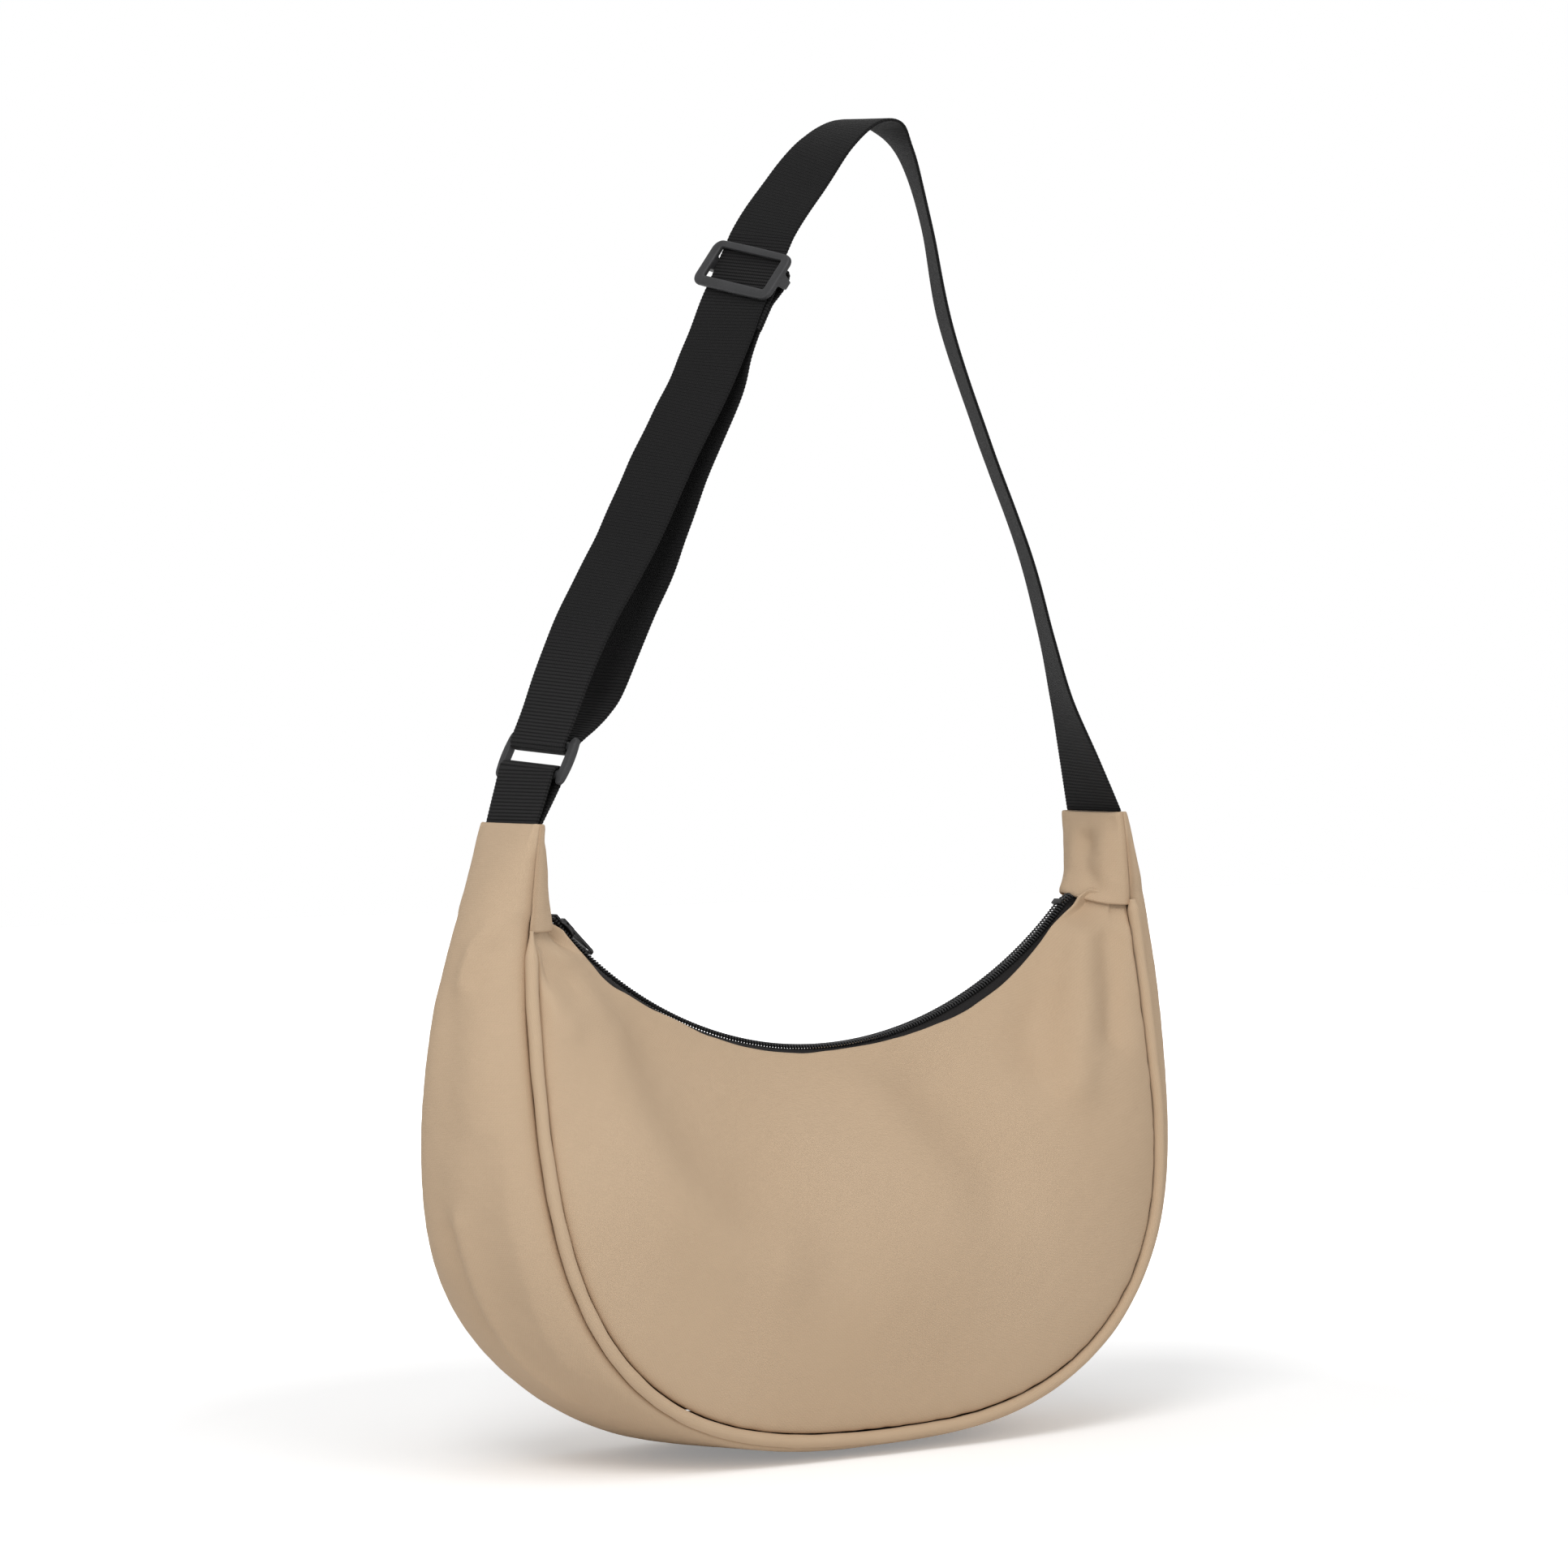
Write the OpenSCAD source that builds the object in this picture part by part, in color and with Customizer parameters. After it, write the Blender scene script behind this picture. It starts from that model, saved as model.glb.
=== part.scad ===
// Half moon shoulder bag: two curved panels and one gusset strip with piping in both seams,
// a zip along the concave top, and a webbing strap on a rectangular ring and a slide adjuster.
// The sizes below are taken in the bag's own frame: X to the right, Y to the back, Z up,
// with zero at the level of the two horn mouths, where the webbing enters the bag.

/* [Bag body] */
// Half width between the side seams at the widest point
bag_half_w = 173.5; // [150:0.5:200]
// Drop from the horn mouths to the widest point
widest_drop = 111; // [95:1:130]
// Drop from the widest point to the bottom seam
bowl_h = 162; // [140:1:185]
// How far each horn mouth stands in from the widest point
horn_lean = 8; // [4:0.5:12]
// Fullness of the lower outline, where 2 is an ellipse and more is squarer
bowl_power = 2.7; // [2.2:0.1:3.2]
// Depth that the front seam gains from the horns to the bottom
front_gain = 24; // [16:1:30]
// Depth that the back seam gains from the horns to the bottom
back_gain = 29; // [20:1:40]
// Bulge of the gusset beyond the seams on the left side
left_bulge = 28; // [16:0.5:32]
// Bulge of the gusset beyond the seams on the right side
right_bulge = 21; // [12:0.5:26]
// Bulge of the gusset below the bottom seam
bottom_bulge = 7; // [4:0.5:10]
// Crown of each panel as a share of its height
crown_share = 0.13; // [0.08:0.01:0.16]
// Thickness of the outer fabric with its backing
fabric_t = 1.2; // [0.8:0.1:1.6]
// Thickness of the lining cloth
lining_t = 0.6; // [0.4:0.1:1]
// Radius of the piping cord with its cover
piping_r = 2.9; // [2:0.1:3.4]

/* [Horns] */
// Length of the hemmed tab that closes the inner side of the left horn
left_tab_l = 44; // [36:1:52]
// Length of the hemmed tab that closes the inner side of the right horn
right_tab_l = 39; // [36:1:52]
// How far the left tab's ridge stands in from the side seam at its hem
left_ridge = 19.5; // [16:0.5:24]
// How far the right tab's ridge stands in from the side seam at its hem
right_ridge = 15; // [13:0.5:20]
// Length of webbing that is sewn into each horn
root_l = 27; // [20:1:32]

/* [Zip] */
// Drop from the horn mouths to the lowest point of the zip
zip_low = 104; // [90:0.5:115]
// Pitch of the zip teeth
tooth_pitch = 2.8; // [2.4:0.1:4]
// Height of the teeth above their tape
tooth_h = 1.9; // [1.6:0.1:2.6]
// Length of the slider along the zip
slider_l = 11; // [9:0.5:14]
// Width of the slider
slider_w = 9; // [8:0.2:10]
// Length of the puller from its pin to its end
puller_l = 18.5; // [14:0.5:22]
// Distance of the closed slider from the zip's left end, measured along the zip to its middle
slider_rest = 9.5; // [9:0.5:24]

/* [Strap] */
// Width of the webbing
webbing_w = 38; // [32:0.5:42]
// Thickness of the webbing
webbing_t = 1.5; // [1:0.1:2]
// Height of the strap's crest above the horn mouths
strap_h = 310; // [260:1:400]
// How far the crest leans to the front
crest_lean = 21; // [10:1:30]
// Free height of the short webbing loop that holds the ring
loop_h = 24.5; // [22:0.5:32]
// Tilt of the ring and its loop from upright, in degrees
ring_tilt = 25.5; // [20:0.5:32]

/* [Buckles] */
// Distance between the centres of the ring's two long bars
ring_pitch = 13; // [12:0.5:18]
// Thickness of the ring and its bars
ring_t = 4; // [3:0.1:4.4]
// Height of the slide adjuster along the strap
glide_h = 23.5; // [22:0.5:30]
// Thickness of the adjuster's outer bars
glide_t = 2.8; // [2.2:0.1:3.4]
// Turn of the adjuster on the strap, in degrees
glide_turn = 6; // [0:1:10]
// Distance of the adjuster below the top of the straight left leg
glide_drop = 19; // [16:0.5:40]
// Length of the ring's short side plates
ring_plate_l = 22; // [19:0.5:26]

/* [Hidden] */

// Clearance between pieces that touch on the real bag, and the overrun of every cut
gap = 0.3;
overrun = 1;

// Rows and columns of the soft sheets, and the sides of the piping
panel_steps = 48;
panel_rows = 8;
piping_sides = 8;

// Places across a horn or a gusset, as shares of its half depth
across_shares = [-1, -0.95, -0.8, -0.55, -0.28, 0, 0.28, 0.55, 0.8, 0.95, 1];
gusset_power = 2.2;
gusset_round = 0.6;
corner_power = 2.5;
edge_share = 0.05;

// Horns: half depth, and the pocket round two layers of webbing
horn_half_d = webbing_w / 2 + 2;
horn_x = bag_half_w - horn_lean;
left_reach_share = 1.15;
right_reach_share = 0.75;
swell_power = 0.8;
tab_swell_power = 0.7;
mouth_wall = webbing_t + gap + fabric_t;
seam_half_gap = (fabric_t + gap) / 2;
seam_inset = piping_r + gap;
seam_blend_l = 8;
piping_cover_share = 0.3;

// Zip: an arc through its lowest point and a left end that stands off from the left tab's ridge
zip_tuck = 4;
left_end_x = side_x(-left_tab_l) - left_ridge - zip_tuck;
right_end_x = side_x(-right_tab_l) - right_ridge - zip_tuck;
zip_sagitta = zip_low - (left_tab_l + right_tab_l) / 2;
zip_r = (left_end_x * left_end_x + zip_sagitta * zip_sagitta) / (2 * zip_sagitta);
zip_z = zip_r - zip_low;
left_end_angle = asin(left_end_x / zip_r);
right_end_angle = asin(right_end_x / zip_r);
deg_per_mm = 180 / (PI * zip_r);

slider_angle = -left_end_angle + slider_rest * deg_per_mm;
slider_last = puller_l - zip_tuck / 2;

// Zip cross-section, measured from the teeth's lower face and from the middle
tape_t = 0.8;
tooth_half_gap = 0.75;
tooth_reach = 2.9;
tooth_share = 0.58;
tape_rise = 2.8;
tape_w = 7;
tape_tail = 8;
tail_run_share = 0.62;
panel_edge_y = 8.4;
panel_edge_drop = 1;

// Slider
plate_t = 1.1;
neck_half_w = tooth_half_gap - 0.35;
narrow_end_share = 0.72;
low_plate_share = 0.42;
bridge_w = 3;
bridge_l = 7;
bridge_h = 2.3;
pin_r = 0.7;
puller_t = 1.1;
puller_w = 6.4;
puller_hole_r = 1.6;

// Strap: places after the straight left leg, as shares of the horn distance, the crest lean and
// the crest height, with the twist of the webbing in degrees. The leg untwists towards the ring
leg_top_share = [-0.205, 0.38, 0.83];
leg_twist = 12;
ring_twist = 4;
untwist_share = 0.43;
crest_shares = [
    [-0.12, 0.55, 0.912, 11],
    [-0.04, 0.80, 0.970, 6],
    [0.045, 0.97, 1.003, 3],
    [0.125, 1.00, 1.003, 8],
    [0.18, 1.04, 0.977, 22],
    [0.23, 1.04, 0.935, 30],
    [0.29, 1.00, 0.850, 33],
    [0.37, 0.85, 0.715, 31],
    [0.515, 0.62, 0.555, 31],
    [0.70, 0.15, 0.392, 31],
    [0.81, -0.05, 0.270, 30],
    [0.88, -0.06, 0.175, 25],
    [0.945, 0, 0.080, 12],
    [1.00, 0, 0.001, 0]
];
route_steps = 4;
flex_spans = 3;

// Return layer of the strap behind the left leg: height and standing-off, as shares of the
// adjuster's distance from the ring
return_shares = [
    [0.015, 0.002], [0.034, 0.012], [0.06, 0.028], [0.095, 0.045], [0.14, 0.057],
    [0.22, 0.058], [0.34, 0.048], [0.48, 0.032], [0.62, 0.018], [0.76, 0.008]
];

// Ring and adjuster
wrap_r = ring_t / 2 + gap + webbing_t / 2;
ring_side = 4.4;
ring_side_edge = 1.8;
ring_corner_r = 1.6;
slot_w = webbing_w + 1;
glide_slot_w = webbing_w + 3;
glide_side = 4.2;
glide_lug_h = 7;
glide_top_bar = 3.4;
glide_low_bar = 5;
glide_corner_r = 4.6;
glide_front = webbing_t / 2 + gap;
centre_bar_t = 2.5;
sewn_r = centre_bar_t / 2 + gap + webbing_t / 2;
centre_bar_n = glide_front + webbing_t + gap + centre_bar_t / 2;
sewn_l = 26;
sewn_slack = glide_slot_w / 2 * sin(glide_turn);
sewn_n = centre_bar_n - sewn_r + webbing_t + gap / 2;

// General vector helpers
function unit(v) = v / norm(v);
function clamp(v, low, high) = max(low, min(high, v));
function smooth(u) = let (c = clamp(u, 0, 1)) c * c * (3 - 2 * c);
function lerp(a, b, s) = a * (1 - s) + b * s;

// Side seam: distance from the middle at a height z above the widest point
function side_x(z) = let (u = (z + widest_drop) / widest_drop) bag_half_w - horn_lean * u * u;
// Half depth gained at a height, as a share: none at the horns and all at the bottom
depth_shares = [0.114, 0.751];
depth_power = 1.5;
function depth_share(z) =
    let (u = clamp((-z / (widest_drop + bowl_h) - depth_shares[0]) / depth_shares[1], 0, 1))
    pow(sin(90 * u), depth_power);
function front_y(z) = -(horn_half_d + front_gain * depth_share(z));
function back_y(z) = horn_half_d + back_gain * depth_share(z);
// Swelling of the gusset below a mouth, as a share
function horn_swell(x, z) = let (reach = (x < 0 ? left_reach_share : right_reach_share) * widest_drop)
    pow(sin(90 * clamp(-z / reach, 0, 1)), swell_power);

// The side seam as a line of points from the left mouth round the bottom to the right mouth
upper_steps = 16;
bowl_steps = 40;
half_seam = concat(
    [for (i = [0:upper_steps]) let (z = -widest_drop * i / upper_steps) [side_x(z), z]],
    [for (i = [1:bowl_steps]) let (q = 90 * i / bowl_steps)
        [bag_half_w * pow(cos(q), 2 / bowl_power), -widest_drop - bowl_h * pow(sin(q), 2 / bowl_power)]]
);
seam_line = concat(
    [for (p = half_seam) [-p.x, p.y]],
    [for (i = [len(half_seam) - 2:-1:0]) half_seam[i]]
);
seam_run = running(seam_line);
function running(line, i = 0, sum = 0) = i >= len(line) - 1 ? [sum]
    : concat([sum], running(line, i + 1, sum + norm(line[i + 1] - line[i])));
// Point of the seam at a share of its length, and the outward direction there
function seam_at(s) = let (d = clamp(s, 0, 1) * seam_run[len(seam_run) - 1])
    [lookup(d, [for (i = [0:len(seam_run) - 1]) [seam_run[i], seam_line[i].x]]),
     lookup(d, [for (i = [0:len(seam_run) - 1]) [seam_run[i], seam_line[i].y]])];
function seam_out(s) = let (d = unit(seam_at(s + 0.004) - seam_at(s - 0.004))) [d.y, -d.x];
// Share of the seam's length from a mouth to just below a tab of a length, where piping and panels begin
function hem_share(l) = let (top = l + gap + fabric_t)
    norm([side_x(-top) - side_x(0), top]) / seam_run[len(seam_run) - 1];
left_hem = hem_share(left_tab_l);
right_hem = hem_share(right_tab_l);

// Stations along the seam: the piping and the panels share those between the hems, and the
// gusset adds those of the two horns
horn_station_shares = [0, 0.3, 0.6, 0.85];
hem_stations = [for (i = [0:panel_steps]) lerp(left_hem, 1 - right_hem, i / panel_steps)];
gusset_stations = concat(
    [for (h = horn_station_shares) h * left_hem],
    hem_stations,
    [for (i = [len(horn_station_shares) - 1:-1:0]) 1 - horn_station_shares[i] * right_hem]
);

// Panel surface: u runs along it from left to right, and v from the zip down to the seam.
// side is -1 for the front panel and 1 for the back one
function zip_point(angle, drop, y) =
    [(zip_r + drop) * sin(angle), y, zip_z - (zip_r + drop) * cos(angle)];
function panel_point(u, v, side) =
    let (top = zip_point(lerp(-left_end_angle, right_end_angle, u), panel_edge_drop, side * panel_edge_y),
         s = lerp(left_hem, 1 - right_hem, u),
         c = seam_at(s),
         out = seam_out(s),
         low = [c.x - out.x * seam_inset, side < 0 ? front_y(c.y) : back_y(c.y), c.y - out.y * seam_inset],
         span = norm(low - top),
         crown = crown_share * span * 4 * v * (1 - v))
    lerp(top, low, v) + [0, side * crown, 0];

// Gusset surface: s runs along the seam and t across it from front to back
function gusset_bulge(s) = let (out = seam_out(s), c = seam_at(s), side = c.x < 0 ? left_bulge : right_bulge)
    lerp(bottom_bulge, side, pow(abs(out.x), corner_power)) * horn_swell(c.x, c.y);
function edge_profile(t, wall) = lerp(seam_half_gap, wall, clamp((1 - abs(t)) / edge_share, 0, 1));
function gusset_point(s, t) =
    let (c = seam_at(s),
         out = seam_out(s),
         l = c.x < 0 ? left_tab_l : right_tab_l,
         inset = seam_inset * smooth((-c.y - l + seam_blend_l) / seam_blend_l),
         wall = lerp(edge_profile(t, mouth_wall), piping_r * piping_cover_share, smooth((-c.y - l) / l)),
         swell = wall + gusset_bulge(s) * pow(1 - pow(abs(t), gusset_power), gusset_round),
         y = lerp(front_y(c.y) + inset, back_y(c.y) - inset, (t + 1) / 2))
    [c.x + out.x * swell, y, c.y + out.y * swell];

// Tab surface: r runs from the mouth down to the hem and t across it from front to back
function tab_point(side, r, t) =
    let (z = -(side < 0 ? left_tab_l : right_tab_l) * r,
         ridge = (side < 0 ? left_ridge : right_ridge) - mouth_wall,
         in = edge_profile(t, mouth_wall) + ridge * pow(sin(90 * r), tab_swell_power) * (1 - pow(abs(t), 3)))
    [side * (side_x(z) - in), horn_half_d * t, z];

// A closed sheet between a surface and its offset: rows is a grid of points whose outer face
// looks along the cross product of its column and row directions, times turn
function grid_normal(g, i, j) =
    let (a = g[min(i + 1, len(g) - 1)][j] - g[max(i - 1, 0)][j],
         b = g[i][min(j + 1, len(g[0]) - 1)] - g[i][max(j - 1, 0)])
    unit(cross(a, b));
function sunk(g, depth, turn) = [for (i = [0:len(g) - 1])
    [for (j = [0:len(g[0]) - 1]) g[i][j] - turn * depth * grid_normal(g, i, j)]];
module sheet(g, thickness, turn = 1, start = 0) {
    outer = start == 0 ? g : sunk(g, start, turn);
    inner = sunk(g, start + thickness, turn);
    rows = len(g);
    cols = len(g[0]);
    n = rows * cols;
    top = [for (i = [0:rows - 2], j = [0:cols - 2], k = [0, 1]) let (a = i * cols + j)
        k == 0 ? [a, a + cols + 1, a + cols] : [a, a + 1, a + cols + 1]];
    low = [for (f = top) [f[0] + n, f[2] + n, f[1] + n]];
    rim = concat(
        [for (j = [0:cols - 1]) j],
        [for (i = [1:rows - 1]) i * cols + cols - 1],
        [for (j = [cols - 2:-1:0]) (rows - 1) * cols + j],
        [for (i = [rows - 2:-1:1]) i * cols]
    );
    sides = [for (i = [0:len(rim) - 1], k = [0, 1]) let (a = rim[i], b = rim[(i + 1) % len(rim)])
        k == 0 ? [a, a + n, b + n] : [a, b + n, b]];
    faces = concat(top, low, sides);
    points = concat([for (r = outer) each r], [for (r = inner) each r]);
    polyhedron(points, turn > 0 ? faces : [for (f = faces) [f[0], f[2], f[1]]], convexity = 6);
}

// A round tube along a line of points
module tube(line, radius, sides) {
    last = len(line) - 1;
    dirs = [for (i = [0:last]) unit(line[min(i + 1, last)] - line[max(i - 1, 0)])];
    points = [for (i = [0:last], k = [0:sides - 1])
        let (a = unit(cross(dirs[i], [0, 1, 0])), b = cross(dirs[i], a), q = 360 * k / sides)
        line[i] + radius * (cos(q) * a + sin(q) * b)];
    walls = [for (i = [0:last - 1], k = [0:sides - 1], h = [0, 1])
        let (a = i * sides + k, b = i * sides + (k + 1) % sides)
        h == 0 ? [a, a + sides, b + sides] : [a, b + sides, b]];
    ends = [for (k = [1:sides - 2], h = [0, 1]) let (base = h * last * sides)
        h == 0 ? [base, base + k, base + k + 1] : [base, base + k + 1, base + k]];
    polyhedron(points, concat(walls, ends), convexity = 6);
}

// A smooth line through points, with n steps from each to the next
function spline(p, n) = concat([for (i = [0:len(p) - 2], k = [0:n - 1])
    let (a = p[max(i - 1, 0)], b = p[i], c = p[i + 1], d = p[min(i + 2, len(p) - 1)], t = k / n)
    0.5 * (2 * b + (c - a) * t + (2 * a - 5 * b + 4 * c - d) * t * t + (3 * b - a - 3 * c + d) * t * t * t)],
    [p[len(p) - 1]]);
// Direction across a webbing that runs along dir, where no twist lays it along Y
function width_dir(dir, twist) = let (w = unit([0, -1, 0] + dir * dir.y), n = cross(dir, w))
    cos(twist) * w + sin(twist) * n;
// A webbing along stations of [middle, direction across it], whole or from one station to another
module webbing(stations, from = 0, to = undef) {
    end = len(stations) - 1;
    stop = is_undef(to) ? end : to;
    last = stop - from;
    points = [for (i = [from:stop])
        let (dir = unit(stations[min(i + 1, end)][0] - stations[max(i - 1, 0)][0]),
             w = unit(stations[i][1] - dir * (dir * stations[i][1])) * webbing_w / 2,
             n = unit(cross(dir, w)) * webbing_t / 2,
             mid = stations[i][0] + (i == from && from > 0 ? gap * dir : [0, 0, 0]))
        each [mid - w - n, mid + w - n, mid + w + n, mid - w + n]];
    walls = [for (i = [0:last - 1], k = [0:3], h = [0, 1]) let (a = 4 * i + k, b = 4 * i + (k + 1) % 4)
        h == 0 ? [a, a + 4, b + 4] : [a, b + 4, b]];
    ends = [[0, 1, 2], [0, 2, 3], [4 * last, 4 * last + 2, 4 * last + 1],
            [4 * last, 4 * last + 3, 4 * last + 2]];
    polyhedron(points, concat(walls, ends), convexity = 6);
}

// Places of the ring, the left leg and the adjuster
ring_dir = [sin(ring_tilt), 0, cos(ring_tilt)];
left_mouth = [-horn_x, 0, 0];
top_bar = left_mouth + ring_dir * (loop_h + ring_pitch);
leg_top = [leg_top_share.x * horn_x, -leg_top_share.y * crest_lean, leg_top_share.z * strap_h];
leg_dir = unit(leg_top - top_bar);
leg_l = norm(leg_top - top_bar);
glide_at = leg_l - glide_drop;
leg_w = width_dir(leg_dir, leg_twist);
leg_n = cross(leg_dir, leg_w);
ring_w = width_dir(leg_dir, ring_twist);
foot_n = cross(leg_dir, ring_w);
ring_n = unit(cross(ring_dir, ring_w));
ring_up = cross(ring_w, ring_n);
// Direction across the webbing of the leg at a distance from the ring
function leg_across(d) =
    width_dir(leg_dir, lerp(ring_twist, leg_twist, smooth(d / (untwist_share * leg_l))));
low_bar = top_bar - ring_up * ring_pitch;

// Places a child drawn with X across the webbing, Y into its thickness and Z up along it
module in_frame(origin, x_dir, y_dir, z_dir) {
    multmatrix([
        [x_dir.x, y_dir.x, z_dir.x, origin.x],
        [x_dir.y, y_dir.y, z_dir.y, origin.y],
        [x_dir.z, y_dir.z, z_dir.z, origin.z],
        [0, 0, 0, 1]
    ]) children();
}
module on_leg(distance) {
    in_frame(top_bar + leg_dir * distance - foot_n * wrap_r, -leg_w, -leg_n, leg_dir) children();
}
module on_ring() {
    in_frame(top_bar, -ring_w, -ring_n, ring_up) children();
}
// Point beside the left leg: n into the bag side and d up along the leg, from the ring's top bar
function leg_point(n, d) = top_bar + foot_n * n + leg_dir * d;

// A strip of webbing seen edge on: the outline of a line of [across, along] points
function band_outline(line) = let (last = len(line) - 1,
    side = [for (i = [0:last]) let (d = unit(line[min(i + 1, last)] - line[max(i - 1, 0)])) [d.y, -d.x]])
    concat([for (i = [0:last]) line[i] + side[i] * webbing_t / 2],
           [for (i = [last:-1:0]) line[i] - side[i] * webbing_t / 2]);
module edge_on_band(line) {
    rotate([90, 0, 90]) linear_extrude(webbing_w, center = true) polygon(band_outline(line));
}

// Route of the strap from the ring's top bar over the crest to the right mouth
wrap_steps = 8;
wrap_line = [for (i = [0:wrap_steps]) let (q = 180 * i / wrap_steps)
    [leg_point(cos(q) * wrap_r, -sin(q) * wrap_r), ring_w]];
straight_steps = 10;
front_leg = [for (i = [1:straight_steps]) leg_point(-wrap_r, leg_l * i / straight_steps)];
crest_points = [for (s = crest_shares) [s.x * horn_x, -s.y * crest_lean, s.z * strap_h, s[3]]];
upper_route = spline(
    concat([for (i = [straight_steps - 3, straight_steps - 1]) concat(front_leg[i], leg_twist)], crest_points),
    route_steps
);
upper_mid = [for (p = upper_route) [p.x, p.y, p.z]];
upper_line = [for (i = [route_steps:len(upper_mid) - 1])
    let (dir = unit(upper_mid[min(i + 1, len(upper_mid) - 1)] - upper_mid[i - 1]))
    [upper_mid[i], width_dir(dir, upper_route[i][3])]];
leg_line = [for (i = [0:straight_steps - 2]) [front_leg[i], leg_across(leg_l * (i + 1) / straight_steps)]];
strap_line = concat(wrap_line, leg_line, upper_line);
flex_from = len(strap_line) - 1 - flex_spans * route_steps;

// The hanging point: the middle of the strap's underside at its crest
crest_station = 4.5 * route_steps;
hang_point = upper_mid[crest_station] - [0, 0, webbing_t / 2];
module hung() {
    translate(-hang_point) children();
}

function panel_grid(side) = [for (i = [0:panel_steps])
    [for (j = [0:panel_rows]) panel_point(i / panel_steps, j / panel_rows, side)]];
module front_panel() {
    hung() color("tan") sheet(panel_grid(-1), fabric_t, -1);
}
module back_panel() {
    hung() color("tan") sheet(panel_grid(1), fabric_t, 1);
}
module gusset() {
    g = [for (s = gusset_stations) [for (t = across_shares) gusset_point(s, t)]];
    hung() color("burlywood") sheet(g, fabric_t, -1);
}

// Piping along a seam from hem to hem
module piping(side) {
    line = [for (s = hem_stations) let (c = seam_at(s)) [c.x, side < 0 ? front_y(c.y) : back_y(c.y), c.y]];
    tube(line, piping_r, piping_sides);
}
module front_piping() {
    hung() color("tan") piping(-1);
}
module back_piping() {
    hung() color("tan") piping(1);
}

module tab(side) {
    rows = 7;
    g = [for (i = [0:rows]) [for (t = across_shares) tab_point(side, i / rows, t)]];
    sheet(g, fabric_t, -side);
}
module left_tab() {
    hung() color("burlywood") tab(-1);
}
module right_tab() {
    hung() color("burlywood") tab(1);
}

// Linings lie just inside the shell, from the lower edge of the zip tape to above the seam
lining_steps = 20;
lining_rows = 6;
lining_low_share = 0.96;
lining_slack = 3 * gap;
function lining_point(i, j, side) =
    let (u = i / lining_steps,
         span = norm(panel_point(u, 1, side) - panel_point(u, 0, side)),
         top = (tape_rise + tape_tail + tape_t - panel_edge_drop) / span)
    panel_point(u, lerp(top, lining_low_share, j / lining_rows), side);
function lining_grid(side) =
    [for (i = [1:lining_steps - 1]) [for (j = [0:lining_rows]) lining_point(i, j, side)]];
module front_lining() {
    hung() color("dimgray") sheet(lining_grid(-1), lining_t, -1, fabric_t + lining_slack);
}
module back_lining() {
    hung() color("dimgray") sheet(lining_grid(1), lining_t, 1, fabric_t + lining_slack);
}
lining_from = 6;
module gusset_lining() {
    lining_across_shares = [-0.8, -0.55, 0, 0.55, 0.8];
    g = [for (i = [lining_from:2:len(gusset_stations) - 1 - lining_from])
        [for (t = lining_across_shares) gusset_point(gusset_stations[i], t)]];
    hung() color("dimgray") sheet(g, lining_t, -1, fabric_t + lining_slack);
}

// A slip pocket sewn to the back lining, over some of the lining's columns and rows
pocket_columns = [8, 12];
pocket_rows = [1, 4];
module inner_pocket() {
    g = [for (i = [pocket_columns.x:pocket_columns.y])
        [for (j = [pocket_rows.x:pocket_rows.y]) lining_point(i, j, 1)]];
    hung() color("gray") sheet(g, lining_t, 1, fabric_t + lining_slack + lining_t + gap);
}

// Parts of the zip are turned about the centre of its arc. Their outlines are drawn as
// [distance from that centre, distance across the zip]
module along_zip(from_angle, to_angle) {
    translate([0, 0, zip_z])
        rotate([90, 0, 0])
            rotate([0, 0, -90 + from_angle])
                rotate_extrude(angle = to_angle - from_angle, $fn = 180) children();
}
module zip_tape(side) {
    run_in = tape_w + tape_tail * tail_run_share;
    along_zip(-left_end_angle, right_end_angle)
        polygon([
            [zip_r, side * (tooth_half_gap + gap)], [zip_r + gap, side * tooth_reach],
            [zip_r + tape_rise, side * tape_w], [zip_r + tape_rise + tape_tail, side * run_in],
            [zip_r + tape_rise + tape_tail, side * (run_in - tape_t)],
            [zip_r + tape_rise + tape_t, side * (tape_w - tape_t)], [zip_r + gap + tape_t, side * tooth_reach],
            [zip_r + tape_t, side * (tooth_half_gap + gap)]
        ]);
}
module front_zip_tape() {
    hung() color("black") zip_tape(1);
}
module back_zip_tape() {
    hung() color("black") zip_tape(-1);
}
// One row of teeth, each a block across the tape's edge, from the closed slider's stop to the right end
stop_t = 1.1;
stop_l = 3;
teeth_from = slider_angle - (slider_l / 2 + gap + stop_l) * deg_per_mm;
teeth_to = right_end_angle - tooth_pitch * deg_per_mm;
last_stop = right_end_angle - (slider_last - slider_l / 2 - gap) * deg_per_mm;
teeth_count = floor((teeth_to - teeth_from) / (tooth_pitch * deg_per_mm));
module zip_teeth(side, shift) {
    tooth_w = tooth_reach - tooth_half_gap;
    translate([0, 0, zip_z])
        for (i = [0:teeth_count - 1])
            rotate([0, -teeth_from - (i + shift) * tooth_pitch * deg_per_mm, 0])
                translate([0, side * (tooth_half_gap + tooth_w / 2), -zip_r + tooth_h / 2 + gap / 3])
                    cube([tooth_pitch * tooth_share, tooth_w, tooth_h], center = true);
}
module front_zip_teeth() {
    hung() color("black") zip_teeth(-1, 0.35);
}
module back_zip_teeth() {
    hung() color("black") zip_teeth(1, 0.85);
}
// A stop across the teeth at each end of the slider's way
module zip_end_stops() {
    hung() color("black")
        for (start = [teeth_from, last_stop])
            along_zip(start, start + stop_l * deg_per_mm)
                translate([zip_r - tooth_h - 2 * gap - stop_t, -tooth_reach])
                    square([stop_t, 2 * tooth_reach]);
}

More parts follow.
